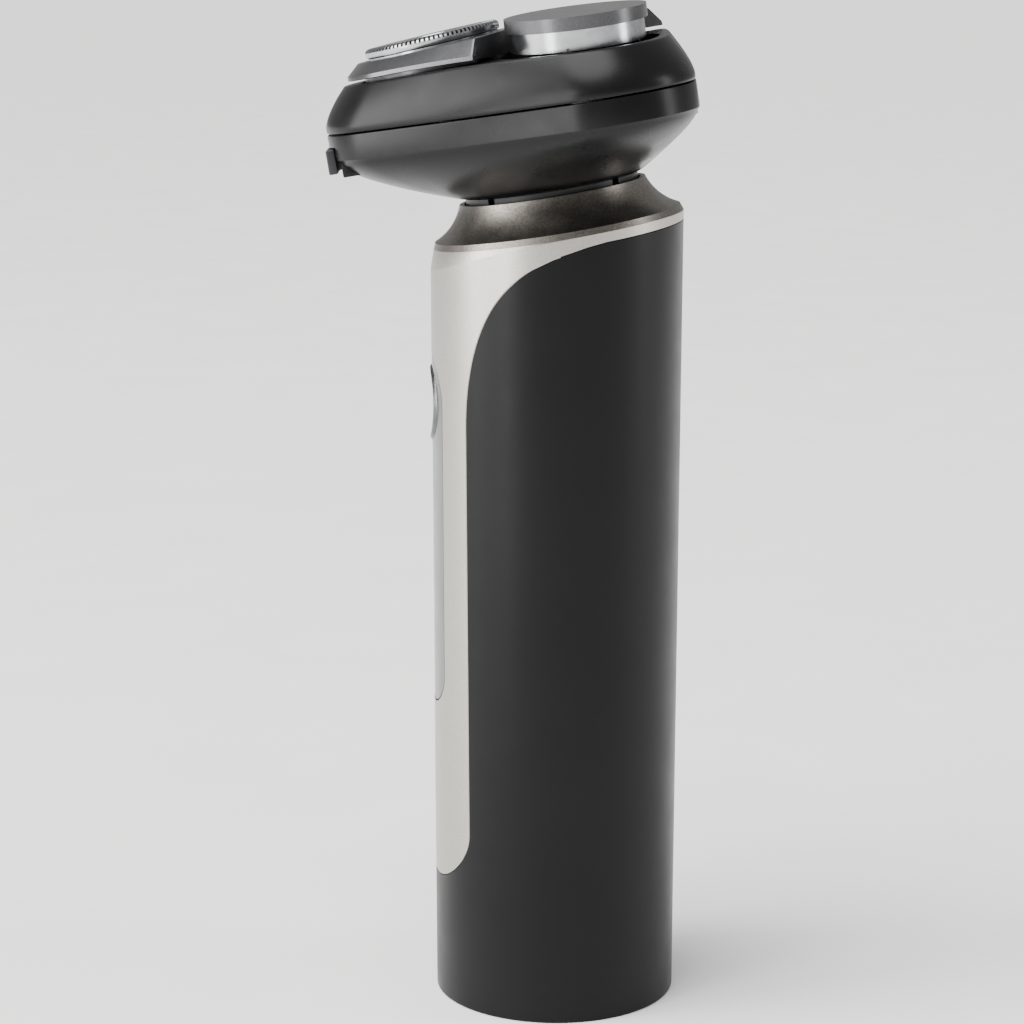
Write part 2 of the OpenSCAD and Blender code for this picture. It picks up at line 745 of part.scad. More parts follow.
module gear_cover() {
    w1 = gear_cover_w + gear_cover_t;
    t0 = (gear_cover_w - bowl_foot_w - floor_t) / (band_w - bowl_foot_w - floor_t);
    g = -head_wall - 0.3;
    color("#343438") head() difference() {
        loft([for (w = [gear_cover_w, w1]) [w, bowl_foot_r + g, bowl_out(t0), g, 0]]);
        for (d = POD_DIRS) rotate([0, 0, d]) translate([spindle_r, 0, 0])
            rod(hub_r + 0.25, gear_cover_w - 1, w1 + 1);
        box(-latch_half_w - 1, latch_half_w + 1, -far, stem_end_v + 3.4, gear_cover_w - 1, w1 + 1);
    }
}
module planet_pins() {
    color("silver") for (d = POD_DIRS) at_spindle(d) rod(pin_r, pin_foot_w, pin_top_w);
}
module hinge_pin() {
    color("silver") head() translate([0, hinge_v, hinge_w]) rotate([0, 90, 0])
        rod(hinge_r, -tab_half_w - lug_w + 0.4, tab_half_w + lug_w - 0.4);
}
module release_latch() {
    ribs = 4;
    pitch = (latch_top_w - latch_foot_w) / (ribs + 1);
    face_v = latch_back_v - latch_t;
    groove_half_w = latch_half_w - 0.8;
    color("#26262a") head() {
        difference() {
            box(-latch_half_w, latch_half_w, face_v, latch_back_v, latch_foot_w, latch_top_w);
            for (i = [1:ribs])
                translate([0, 0, latch_foot_w + i * pitch])
                    box(-groove_half_w, groove_half_w, face_v - 1, face_v + 0.25, -0.2, 0.2);
        }
        box(-stem_half_w, stem_half_w, latch_back_v - eps, stem_end_v, stem_foot_w, stem_top_w);
        box(-stem_half_w, stem_half_w, stem_end_v - 1, stem_end_v, stem_foot_w, stem_top_w + 1.2);
    }
}
module latch_spring() {
    color("silver") head() translate([0, stem_end_v, (stem_foot_w + stem_top_w) / 2]) rotate([-90, 0, 0])
        coil(0.85, 0.22, latch_travel + 0.05, 2);
}

// Gears
module gear(teeth, z0, h) {
    rp = gear_module * teeth / 2;
    rr = rp - 1.2 * gear_module;
    rt = rp + 0.85 * gear_module;
    pitch = 360 / teeth;
    play = backlash / 2 / rp * 180 / PI;
    half = pitch / 4 - play;
    root_half = half + 0.42 * gear_module / rp * 180 / PI;
    tip_half = half - 0.36 * gear_module / rp * 180 / PI;
    translate([0, 0, z0]) linear_extrude(height = h)
        polygon([for (i = [0:teeth - 1]) let(a = i * pitch) each [
            [rr * cos(a - root_half), rr * sin(a - root_half)],
            [rt * cos(a - tip_half), rt * sin(a - tip_half)],
            [rt * cos(a + tip_half), rt * sin(a + tip_half)],
            [rr * cos(a + root_half), rr * sin(a + root_half)]
        ]]);
}
module sun_gear() {
    color("#e8e4d8") head() difference() {
        union() {
            gear(sun_teeth, gear_w, gear_h);
            rod(sun_hub_r, bowl_foot_w + 0.1, gear_w + gear_h + 0.3);
        }
        flatted(coupling_r + slide_gap, coupling_flat + slide_gap, 0, coupling_top_w + 0.6);
    }
}
// Turn that meshes an outer gear in direction dir with the central gear
function mesh_turn(dir) = let(p = 360 / sun_teeth, lead = round(dir / p) * p - dir)
    180 + 180 / planet_teeth - lead * sun_teeth / planet_teeth;
module planet_gear(dir) {
    color("#dcd8cc") head() rotate([0, 0, dir]) translate([spindle_r, 0, 0]) difference() {
        union() {
            rotate([0, 0, mesh_turn(dir)]) gear(planet_teeth, gear_w, gear_h);
            rod(hub_r, boss_top_w + 0.15, spindle_top_w);
        }
        rod(pin_r + run_gap, boss_top_w - 1, spring_foot_w);
        rod(drive_r + slide_gap, spring_foot_w - eps, spindle_top_w + 1);
    }
}
module spindle_spring(dir) {
    color("silver") at_spindle(dir) coil(drive_r - 0.05, 0.25, spring_foot_w, spring_foot_w + spring_l);
}
module drive_pin(dir) {
    color("#e8e4d8") at_spindle(dir) {
        rod(drive_r, drive_foot_w, tip_foot_w);
        intersection() {
            translate([0, 0, tip_foot_w - eps])
                cylinder(r1 = tip_foot_r, r2 = tip_top_r, h = tip_top_w - tip_foot_w + eps);
            box(-3, 3, -tip_flat, tip_flat, 0, far);
        }
    }
}

// Cover
module head_cover() {
    inner_top = cover_h - cover_plate_t;
    color("#1a1a1c") head() {
        difference() {
            union() {
                difference() {
                    loft(cover_rings(parting_gap, cover_h, 0, 6));
                    loft(concat([[parting_w - 1, 0, 1, -head_wall, 0]],
                        cover_rings(parting_gap, inner_top, -head_wall, 4)));
                }
                rod(2, frame_w + frame_t, cover_top_w - 0.5);
                intersection() {
                    loft([[hinge_w, 0, 1, 0, 0], [parting_w + 1.2, 0, 1, 0, 0]]);
                    box(-tab_half_w, tab_half_w, hinge_v - 0.2, far, 0, far);
                }
                translate([0, hinge_v, hinge_w]) rotate([0, 90, 0]) rod(knuckle_r, -tab_half_w, tab_half_w);
                box(-2.5, 2.5, -(apex_r - head_wall) - 0.5, hook_v + 0.9, parting_w + 0.4, parting_w + 1.4);
                box(-2.5, 2.5, hook_v - 0.3, hook_v + 0.9, stem_top_w + 1.6, parting_w + 1.4);
            }
            for (d = POD_DIRS) rotate([0, 0, d]) translate([ring_r, 0, 0])
                rod(pod_hole_r, frame_w + frame_t, far);
            translate([0, hinge_v, hinge_w]) rotate([0, 90, 0]) rod(hinge_r + run_gap, -far, far);
        }
    }
}
module cutter_frame() {
    color("#2a2a2e") head() difference() {
        loft([[frame_w, 0, cover_out(frame_w - parting_w), -head_wall - 0.1, 0],
            [frame_w + frame_t, 0, cover_out(frame_w + frame_t - parting_w), -head_wall - 0.1, 0]]);
        for (d = POD_DIRS) rotate([0, 0, d]) {
            translate([spindle_r, 0, 0]) rod(8.6, frame_w - 1, frame_w + 2);
            translate([apex_r + 1.5, 0, 0]) rod(8, frame_w - 1, frame_w + 2);
        }
        for (d = FLAT_DIRS) rotate([0, 0, d]) translate([flat_r + 3.2, 0, 0])
            rod(10, frame_w - 1, frame_w + 2);
    }
}

// Pods
// Wedge between two gap directions, its sides moved in by half the gap
module sector(gaps) {
    mid = (gaps[0] + gaps[1]) / 2;
    half = (gaps[1] - gaps[0]) / 2;
    side_x = far * cos(half);
    side_y = far * sin(half);
    rotate([0, 0, mid]) translate([petal_gap / 2 / sin(half), 0, 0]) linear_extrude(height = far)
        polygon([[0, 0], [side_x, -side_y], [2 * far, 0], [side_x, side_y]]);
}
module petal(dir, gaps) {
    top_w = petal_foot_w + petal_lip_h;
    color("#6f6f73") difference() {
        union() {
            intersection() {
                head() loft([[petal_foot_w, 0, petal_out, 0, edge_rise],
                    [top_w, 0, petal_out - 0.004, 0, edge_rise],
                    [top_w + 4, 0, petal_out - 0.133, 0, edge_rise]]);
                pod(dir) box(-far, far, -far, far, -far, 0);
                head() sector(gaps);
            }
            pod(dir) rod(skirt_r, skirt_foot, -petal_t + 0.4);
            pod(dir) translate([0, 0, trunnion_z]) rotate([90, 0, 0])
                rod(trunnion_r, -trunnion_end, trunnion_end);
        }
        pod(dir) rod(skirt_bore_r, -far, -petal_t);
        pod(dir) rod(petal_bore_r, -far, 1);
    }
}
module guard(dir) {
    slot_w = 0.34;
    color("#cfd2d6") pod(dir) difference() {
        union() {
            rod(guard_r, guard_foot, guard_stand);
            rod(flange_r, guard_foot, guard_foot + 0.5);
        }
        rod(guard_r - guard_t, guard_foot - 1, guard_stand - guard_t);
        rod(5.6, guard_stand - guard_t + 0.2, guard_stand + 1);
        for (i = [0:slots - 1]) rotate([0, 0, i * 360 / slots])
            box(7.2, guard_r + 1, -slot_w / 2, slot_w / 2, guard_stand - 1, guard_stand + 1);
    }
}
module cutter(dir) {
    color("#b9bdc2") pod(dir) difference() {
        union() {
            rod(disc_r, disc_top - disc_t, disc_top);
            rod(3.6, cutter_foot, disc_top);
            for (i = [0:blades - 1]) rotate([0, 0, i * 360 / blades])
                box(6.8, disc_r - 0.2, -0.25, 0.25, disc_top - disc_t / 2, blade_top);
        }
        rotate([0, 0, -dir]) flatted(socket_r, socket_flat, -far, -2.6);
    }
}

body_sleeve();
front_panel();
display_strip();
base_cap();
base_seal();
charge_inlet();
charge_board();
chassis();
battery();
main_board();
display_board();
tact_switch();
motor();
motor_magnets();
motor_mount();
motor_screws();
neck_collar();
neck_screws();
shaft_seal();
power_button();
switch_plunger();
motor_shaft();
rotor();
drive_coupling();
coupling_ring();
hair_chamber();
gear_cover();
planet_pins();
hinge_pin();
latch_spring();
sun_gear();
planet_gear(FRONT);  // planet_gear_front
planet_gear(RIGHT);  // planet_gear_right
planet_gear(LEFT);  // planet_gear_left
spindle_spring(FRONT);  // spindle_spring_front
spindle_spring(RIGHT);  // spindle_spring_right
spindle_spring(LEFT);  // spindle_spring_left
drive_pin(FRONT);  // drive_pin_front
drive_pin(RIGHT);  // drive_pin_right
drive_pin(LEFT);  // drive_pin_left
release_latch();
head_cover();
cutter_frame();
petal(FRONT, GAPS_FRONT);  // petal_front
petal(RIGHT, GAPS_RIGHT);  // petal_right
petal(LEFT, GAPS_LEFT);  // petal_left
guard(FRONT);  // guard_front
guard(RIGHT);  // guard_right
guard(LEFT);  // guard_left
cutter(FRONT);  // cutter_front
cutter(RIGHT);  // cutter_right
cutter(LEFT);  // cutter_left
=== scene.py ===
import json
from math import atan2, ceil, cos, degrees, pi, radians, sin, sqrt, tan

import bmesh
import bpy
from mathutils import Matrix, Vector


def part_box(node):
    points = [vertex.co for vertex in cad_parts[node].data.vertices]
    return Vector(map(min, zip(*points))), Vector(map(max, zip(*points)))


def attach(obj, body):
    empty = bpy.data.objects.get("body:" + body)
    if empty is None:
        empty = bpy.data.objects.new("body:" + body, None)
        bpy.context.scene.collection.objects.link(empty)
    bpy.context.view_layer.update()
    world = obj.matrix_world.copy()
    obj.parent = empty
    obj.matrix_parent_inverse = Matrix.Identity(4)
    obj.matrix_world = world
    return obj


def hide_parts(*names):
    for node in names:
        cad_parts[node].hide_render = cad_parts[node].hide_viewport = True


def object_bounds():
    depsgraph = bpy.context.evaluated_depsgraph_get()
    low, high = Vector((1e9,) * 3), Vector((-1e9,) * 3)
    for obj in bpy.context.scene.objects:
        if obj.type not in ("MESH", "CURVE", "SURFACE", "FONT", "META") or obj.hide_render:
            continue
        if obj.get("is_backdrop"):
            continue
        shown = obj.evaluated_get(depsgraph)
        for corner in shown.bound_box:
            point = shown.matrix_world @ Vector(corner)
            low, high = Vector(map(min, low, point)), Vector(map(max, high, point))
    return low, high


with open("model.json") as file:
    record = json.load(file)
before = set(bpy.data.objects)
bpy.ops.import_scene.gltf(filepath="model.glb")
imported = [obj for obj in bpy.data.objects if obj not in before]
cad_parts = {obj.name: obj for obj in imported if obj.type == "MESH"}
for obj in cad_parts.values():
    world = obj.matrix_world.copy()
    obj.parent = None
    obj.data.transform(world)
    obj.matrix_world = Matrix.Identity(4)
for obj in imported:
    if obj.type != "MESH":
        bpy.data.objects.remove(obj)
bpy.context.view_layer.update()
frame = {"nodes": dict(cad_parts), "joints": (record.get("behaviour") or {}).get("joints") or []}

joints = {joint["name"]: joint for joint in frame["joints"]}


# ---------------------------------------------------------------- Foot plug
# The plug that closes the handle's foot, injection moulded in black ABS, with the
# charging socket in a well and a silicone ring around it. All three are the CAD's own.

MM = 0.001


def linear(hex_colour):
    """sRGB hex, as a colour chart gives it, to the linear colour that a shader takes."""
    channels = [int(hex_colour[i:i + 2], 16) / 255 for i in (1, 3, 5)]
    return tuple(c / 12.92 if c <= 0.04045 else ((c + 0.055) / 1.055) ** 2.4 for c in channels) + (1,)


def add(tree, kind, settings=None, **links):
    """Adds a node, sets its own settings and socket values, and links what comes from other sockets."""
    node = tree.nodes.new("ShaderNode" + kind)
    for key, value in (settings or {}).items():
        if key in node.inputs:
            node.inputs[key].default_value = value
        else:
            setattr(node, key, value)
    for socket, source in links.items():
        tree.links.new(source, node.inputs[socket.replace("_", " ")])
    return node


def finish_of(name, shader):
    """A new material with its surface shader, and the place of each point in millimetres."""
    material = bpy.data.materials.new(name)
    material.use_nodes = True
    tree = material.node_tree
    tree.nodes.clear()
    surface = add(tree, "BsdfPrincipled", shader)
    add(tree, "OutputMaterial", Surface=surface.outputs["BSDF"])
    place = add(tree, "TexCoord")
    millimetres = add(tree, "VectorMath", {"operation": "SCALE", "Scale": 1 / MM},
                      Vector=place.outputs["Object"])
    return material, tree, surface, millimetres.outputs["Vector"]


def speckle(tree, where, size, low, high, detail=2.0):
    """Soft mottle whose spots are about size millimetres across, between two values."""
    noise = add(tree, "TexNoise", {"Scale": 1 / size, "Detail": detail}, Vector=where)
    spread = add(tree, "MapRange", {"interpolation_type": "SMOOTHSTEP", "From Min": 0.25, "From Max": 0.75,
                                    "To Min": low, "To Max": high}, Value=noise.outputs["Fac"])
    return spread.outputs["Result"]


def relief(tree, where, size, detail=2.0):
    """Uneven height whose bumps are about size millimetres across, from 0 to 1."""
    return add(tree, "TexNoise", {"Scale": 1 / size, "Detail": detail}, Vector=where).outputs["Fac"]


def tint(tree, factor, dark, light):
    """A colour between two paint-chart colours."""
    ramp = add(tree, "ValToRGB", Fac=factor)
    ramp.color_ramp.elements[0].color = linear(dark)
    ramp.color_ramp.elements[1].color = linear(light)
    return ramp.outputs["Color"]


def grain(tree, surface, height, depth, strength=1.0):
    """Relief of the given depth in millimetres, on the surface's normal."""
    bump = add(tree, "Bump", {"Distance": depth * MM, "Strength": strength}, Height=height)
    tree.links.new(bump.outputs["Normal"], surface.inputs["Normal"])


def moulded(name, dark, light, rough, texture, depth):
    """Injection-moulded plastic: a spark-eroded skin of the given texture size and depth in mm."""
    material, tree, surface, where = finish_of(name, {"Specular IOR Level": 0.3, "IOR": 1.5})
    patches = speckle(tree, where, 9.0, 0.0, 1.0)
    tree.links.new(tint(tree, patches, dark, light), surface.inputs["Base Color"])
    worn = speckle(tree, where, 4.0, rough - 0.05, rough + 0.05)
    tree.links.new(worn, surface.inputs["Roughness"])
    grain(tree, surface, relief(tree, where, texture, 3.0), depth)
    return material


def wear(node, material):
    """Gives a CAD node's object its finish."""
    slots = frame["nodes"][node].data.materials
    slots.clear()
    slots.append(material)


# Black ABS, spark-eroded mould: an even matt skin that breaks highlights up slightly.
foot_abs = moulded("black_abs_eroded", "#191919", "#212120", 0.5, 0.35, 0.02)
# Silicone: softer and a little lighter than the plastic round it.
silicone = moulded("black_silicone", "#1c1c1b", "#262624", 0.62, 0.6, 0.01)
wear("base_cap", foot_abs)
for node in ("base_seal", "shaft_seal"):
    wear(node, silicone)

# Bright-rolled steel: narrow sheen, faint drawing lines about 0.3 mm apart.
steel, tree, surface, where = finish_of("bright_rolled_steel", {"Metallic": 1.0})
tree.links.new(tint(tree, speckle(tree, where, 3.0, 0, 1), "#b4b6b9", "#c6c8ca"), surface.inputs["Base Color"])
tree.links.new(speckle(tree, where, 0.8, 0.22, 0.36), surface.inputs["Roughness"])
rolled = add(tree, "Mapping", {"Scale": (1.0, 1.0, 0.05)}, Vector=where)
grain(tree, surface, relief(tree, rolled.outputs["Vector"], 0.3), 0.006)
for node in ("charge_inlet", "motor", "motor_screws", "neck_screws", "motor_shaft", "planet_pins",
             "hinge_pin", "latch_spring"):
    wear(node, steel)


# ---------------------------------------------------------------- Circuit boards, cell and chassis
# The works slide into the tube on a moulded chassis: boards in green solder mask, a
# lithium cell in blue shrink film, and a small motor with a slotted steel rotor.

# Glass-cloth laminate under solder mask: glossy, with the weave of 0.5 mm threads just showing.
laminate, tree, surface, where = finish_of("green_solder_mask", {"IOR": 1.5, "Roughness": 0.28})
cloth = add(tree, "TexChecker", {"Scale": 1 / 0.5, "Color1": linear("#1b5335"), "Color2": linear("#20603d")},
            Vector=where)
tree.links.new(cloth.outputs["Color"], surface.inputs["Base Color"])
grain(tree, surface, cloth.outputs["Fac"], 0.01)
for node in ("charge_board", "main_board", "display_board"):
    wear(node, laminate)

# PVC shrink film: thin, glossy, slightly rippled where it shrank over the can.
shrink_film, tree, surface, where = finish_of("blue_shrink_film", {"IOR": 1.53, "Roughness": 0.22,
                                                                   "Coat Weight": 0.3})
tree.links.new(tint(tree, speckle(tree, where, 6.0, 0, 1), "#255c97", "#2f6fae"), surface.inputs["Base Color"])
grain(tree, surface, relief(tree, where, 2.5), 0.05)
wear("battery", shrink_film)

# Glass-filled nylon: dull grey, the fibres leave a fine streaked skin.
nylon = moulded("glass_filled_nylon", "#36383a", "#45484b", 0.58, 0.5, 0.03)
for node in ("chassis", "motor_mount", "gear_cover", "tact_switch", "switch_plunger"):
    wear(node, nylon)

# Sintered ferrite magnets: dark grey, chalky, pitted at about 0.4 mm.
ferrite = moulded("sintered_ferrite", "#3b3b3e", "#4b4b4f", 0.75, 0.4, 0.04)
wear("motor_magnets", ferrite)

# Varnished electrical steel: warm brown lacquer over stacked sheets 0.5 mm thick.
lamination, tree, surface, where = finish_of("varnished_laminations", {"Metallic": 0.6, "Roughness": 0.4})
sheets = add(tree, "TexWave", {"Scale": 1 / 0.5 / 2, "bands_direction": "Z"}, Vector=where)
tree.links.new(tint(tree, sheets.outputs["Fac"], "#6e4a28", "#9a6a3c"), surface.inputs["Base Color"])
grain(tree, surface, sheets.outputs["Fac"], 0.04)
wear("rotor", lamination)


# ---------------------------------------------------------------- Handle sleeve
# A drawn tube of polycarbonate in satin black soft-touch lacquer. It is cut away at the
# front and all round under the rim, where the metal skin is let in flush.

drive = joints["motor_spin"]
DRIVE_AXIS = Vector(drive["axis"])
TILT = atan2(-DRIVE_AXIS.y, DRIVE_AXIS.z)
HEAD = Matrix.Translation(Vector(drive["pos_m"]) / MM) @ Matrix.Rotation(TILT, 4, "X")
UPRIGHT = Matrix.Identity(4)


def reach(node, low, high):
    """Half the width of a CAD node between two heights, in millimetres."""
    return max(v.co.x for v in frame["nodes"][node].data.vertices if low <= v.co.z / MM <= high) / MM


handle_h = HEAD.translation.z
foot_r = reach("body_sleeve", 0.3, 1.0)
rim_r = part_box("front_panel")[1].x / MM
wall = 1.6
taper = (rim_r - foot_r) / handle_h
seam = 0.14
band_h = 1.5
ROUND = 256


def polyline(corners, bits=6):
    """Corners (x, y) or (x, y, radius), with each given radius drawn as a short arc."""
    points = []
    for k, corner in enumerate(corners):
        here = Vector(corner[:2])
        radius = corner[2] if len(corner) > 2 else 0
        if not radius:
            points.append(here)
            continue
        before = (Vector(corners[k - 1][:2]) - here).normalized()
        after = (Vector(corners[(k + 1) % len(corners)][:2]) - here).normalized()
        half = before.angle(after) / 2
        centre = here + (before + after).normalized() * (radius / sin(half))
        start = here + before * (radius / tan(half)) - centre
        end = here + after * (radius / tan(half)) - centre
        turn = start.angle_signed(end)
        for i in range(bits + 1):
            swing = Matrix.Rotation(-turn * i / bits, 2)
            points.append(centre + swing @ start)
    return points


def spun(corners, steps=ROUND, closed=True):
    """Turns a section of (radius, height) corners about Z, as on a lathe."""
    bm = bmesh.new()
    points = polyline(corners)
    verts = [bm.verts.new((p.x, 0, p.y)) for p in points]
    edges = [bm.edges.new(pair) for pair in zip(verts, verts[1:])]
    if closed:
        edges.append(bm.edges.new((verts[-1], verts[0])))
    bmesh.ops.spin(bm, geom=verts + edges, cent=(0, 0, 0), axis=(0, 0, 1), angle=2 * pi,
                   steps=steps, use_merge=True)
    return bm


def block(low, high, soft=0.0):
    """A box between two corners, its edges rounded by soft."""
    bm = bmesh.new()
    bmesh.ops.create_cube(bm, size=1)
    size = Vector(high) - Vector(low)
    bmesh.ops.scale(bm, vec=size, verts=bm.verts)
    bmesh.ops.translate(bm, vec=Vector(low) + size / 2, verts=bm.verts)
    if soft:
        bmesh.ops.bevel(bm, geom=bm.edges[:], offset=soft, offset_type="OFFSET", segments=3,
                        profile=0.5, affect="EDGES", material=-1)
    return bm


def prism(points, near, away):
    """An outline of (x, z) points, given a depth along Y from near to away."""
    bm = bmesh.new()
    face = bm.faces.new([bm.verts.new((x, near, z)) for x, z in points])
    grown = bmesh.ops.extrude_face_region(bm, geom=[face])["geom"]
    bmesh.ops.translate(bm, vec=(0, away - near, 0), verts=[g for g in grown if isinstance(g, bmesh.types.BMVert)])
    return bm


def place(bm, name, where=UPRIGHT, sharp=32):
    """Closes a piece's mesh, puts it where it belongs, in metres, and smooths its soft edges."""
    bmesh.ops.remove_doubles(bm, verts=bm.verts, dist=0.0005)
    bmesh.ops.dissolve_degenerate(bm, dist=0.0002, edges=bm.edges)
    bmesh.ops.recalc_face_normals(bm, faces=bm.faces)
    bmesh.ops.transform(bm, matrix=Matrix.Scale(MM, 4) @ where, verts=bm.verts)
    shade(bm, sharp)
    mesh = bpy.data.meshes.new(name)
    bm.to_mesh(mesh)
    bm.free()
    piece = bpy.data.objects.new(name, mesh)
    bpy.context.scene.collection.objects.link(piece)
    return piece


def shade(bm, sharp):
    for face in bm.faces:
        face.smooth = True
    for edge in bm.edges:
        edge.smooth = len(edge.link_faces) == 2 and edge.calc_face_angle(0) < radians(sharp)


def carve(piece, tool, operation="DIFFERENCE", sharp=32):
    """Cuts a piece with another, and throws the tool away."""
    cut = piece.modifiers.new("cut", "BOOLEAN")
    cut.operation, cut.solver, cut.object = operation, "EXACT", tool
    bpy.context.view_layer.update()
    shaped = bpy.data.meshes.new_from_object(piece.evaluated_get(bpy.context.evaluated_depsgraph_get()))
    piece.modifiers.clear()
    piece.data = shaped
    bpy.data.objects.remove(tool)
    bm = bmesh.new()
    bm.from_mesh(shaped)
    bmesh.ops.dissolve_degenerate(bm, dist=0.0002 * MM, edges=bm.edges)
    shade(bm, sharp)
    bm.to_mesh(shaped)
    bm.free()
    return piece


def true_round(piece, off=0.03):
    """Points the normals of the outer wall straight out, so that a cut edge leaves no shadow on it."""
    mesh = piece.data
    normals = []
    for face in mesh.polygons:
        middle = face.center / MM
        outer = foot_r + taper * middle.z
        on_wall = abs(middle.xy.length - outer) < off and abs(face.normal.z) < 0.1
        for corner in face.loop_indices:
            place_xy = mesh.vertices[mesh.loops[corner].vertex_index].co.xy.normalized()
            normals.append((place_xy.x, place_xy.y, -taper) if on_wall else mesh.corner_normals[corner].vector[:])
    mesh.normals_split_custom_set(normals)


def arc(x, y, radius, start, end, bits):
    return [(x + radius * cos(radians(start + (end - start) * i / bits)),
             y + radius * sin(radians(start + (end - start) * i / bits))) for i in range(bits + 1)]


def both_sides(edge):
    return edge + [(-x, y) for x, y in reversed(edge)]


def handle_tube(shrink, inner):
    """The handle's tapered wall, standing past the rim for trimming."""
    top = handle_h + 8
    return spun([(inner, 0), (foot_r - shrink, 0, 0.35), (foot_r + taper * top - shrink, top), (inner, top)])


# Outline of the metal skin: a rounded tongue whose sides sweep out into the rim band.
panel_half_w, panel_bottom, panel_corner_r = 13.5, 20.4, 9
bend_z = handle_h - 18.8
sweep_lean, sweep_r, sweep_end_r = 22.2, 55, 5.4
blend_lean = 9.2
lean = radians(sweep_lean)
sweep_end_z = bend_z + sweep_end_r * sin(lean) + (rim_r - sweep_end_r * (1 - cos(lean)) - panel_half_w) / tan(lean)
side_z = sweep_end_z - sqrt(2 * sweep_end_r * (rim_r - foot_r - taper * sweep_end_z))
FAR = 60
# The edge at the sides runs along two planes, eased into each other by a third between them.
steep = TILT + radians(blend_lean)
band_z = handle_h - band_h / cos(TILT)
meet_y = (side_z - band_z) / (tan(TILT) - tan(steep))
edge_planes = ((0, band_z, TILT), (0, side_z, steep),
               (meet_y, side_z + meet_y * tan(steep) - 0.12, (TILT + steep) / 2))


def metal_region(name, grow):
    """Solid that holds everything above the metal skin's lower edge, that edge moved down by grow."""
    edge = (arc(panel_half_w - panel_corner_r, panel_bottom + panel_corner_r, panel_corner_r + grow, -90, 0, 16)
            + arc(panel_half_w + sweep_r, bend_z - sweep_r * tan(lean / 2), sweep_r - grow, 180,
                  180 - sweep_lean, 24)
            + arc(rim_r - sweep_end_r, sweep_end_z - grow, sweep_end_r, -sweep_lean, 0, 12)
            + [(rim_r, handle_h + FAR)])
    region = place(prism(both_sides(edge), 0, -FAR), name)
    for low_y, low_z, slope in edge_planes:
        where = Matrix.Translation((0, low_y, low_z - grow)) @ Matrix.Rotation(slope, 4, "X")
        carve(region, place(block((-FAR, -FAR, 0), (FAR, FAR, FAR)), name + "_plane", where), "UNION")
    return region


sleeve = place(handle_tube(0, foot_r - wall), "handle_sleeve")
carve(sleeve, metal_region("sleeve_cutaway", seam))
true_round(sleeve)
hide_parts("body_sleeve")
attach(sleeve, "handle")

# Polycarbonate under soft-touch lacquer: deep satin black, one broad soft highlight, a fine
# sprayed grain of 0.25 mm and slight polish where hands rub it.
lacquer, tree, surface, where = finish_of("satin_black_lacquer", {"IOR": 1.5, "Specular IOR Level": 0.16})
tree.links.new(tint(tree, speckle(tree, where, 14.0, 0, 1), "#0a0a0b", "#0d0d0d"), surface.inputs["Base Color"])
tree.links.new(speckle(tree, where, 7.0, 0.33, 0.39, 4.0), surface.inputs["Roughness"])
grain(tree, surface, relief(tree, where, 0.25), 0.004)
sleeve.data.materials.clear()
sleeve.data.materials.append(lacquer)


# ---------------------------------------------------------------- Metal front panel
# A drawn aluminium skin, bead blasted and clear anodised, bonded flush into the sleeve.
# Its rim is chamfered, and a slot is cut out of it for the display strip.

strip_half_w, strip_bottom, strip_corner_r = 7.9, 49.1, 5
button_z = sum(corner.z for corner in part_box("power_button")) / 2 / MM


def strip_outline(grow):
    return both_sides(arc(strip_half_w - strip_corner_r, strip_bottom + strip_corner_r, strip_corner_r + grow,
                          -90, 0, 12) + arc(0, button_z, strip_half_w + grow, 0, 90, 24)[:-1])


rim_cone = spun([(0, -FAR * 2), (rim_r - 0.03 + 0.33 * FAR * 2, -FAR * 2), (rim_r - 0.03, 0), (0, 0)])
panel = place(handle_tube(0, foot_r - wall), "metal_panel")
carve(panel, metal_region("panel_form", 0), "INTERSECT")
carve(panel, place(rim_cone, "rim_form", HEAD), "INTERSECT")
carve(panel, place(prism(strip_outline(2 * seam), 0, -FAR), "strip_cutaway"))
true_round(panel)
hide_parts("front_panel")
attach(panel, "handle")

# Bead-blasted aluminium, clear anodised with a warm cast: silky, broad highlight, and a grit
# grain of 0.12 mm, drawn at 0.3 mm so that it shows.
blasted, tree, surface, where = finish_of("bead_blasted_aluminium", {"Metallic": 1.0})
tree.links.new(tint(tree, speckle(tree, where, 0.3, 0, 1), "#a8a49c", "#b4b0a9"), surface.inputs["Base Color"])
tree.links.new(speckle(tree, where, 5.0, 0.36, 0.42), surface.inputs["Roughness"])
grain(tree, surface, relief(tree, where, 0.3, 3.0), 0.008)
panel.data.materials.clear()
panel.data.materials.append(blasted)


# ---------------------------------------------------------------- Display strip
# A curved window of smoked grey polycarbonate, polished, set flush in the metal skin.
# Its display lights up from behind, so it is blank when the shaver is off.

strip = place(handle_tube(0.05, foot_r - 1.4), "display_window")
carve(strip, place(prism(strip_outline(0), 0, -FAR), "strip_form"), "INTERSECT")
button_r = 6.2
finger_well = spun([(0, 0), (button_r + 0.12, 0), (button_r + 0.12, FAR), (0, FAR)])
TO_FRONT = Matrix.Translation((0, 0, button_z)) @ Matrix.Rotation(radians(90), 4, "X")
carve(strip, place(finger_well, "button_cutaway", TO_FRONT))
true_round(strip, 0.08)
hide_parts("display_strip")
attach(strip, "handle")

# Polished polycarbonate with a metallic grey back print: glossy over a dull silver.
window, tree, surface, where = finish_of("back_printed_polycarbonate", {"IOR": 1.585, "Metallic": 0.5,
                                                                        "Coat Weight": 0.35, "Coat Roughness": 0.08})
tree.links.new(tint(tree, speckle(tree, where, 11.0, 0, 1), "#58585a", "#616162"), surface.inputs["Base Color"])
tree.links.new(speckle(tree, where, 6.0, 0.3, 0.36), surface.inputs["Roughness"])
grain(tree, surface, relief(tree, where, 1.5), 0.002)
strip.data.materials.clear()
strip.data.materials.append(window)


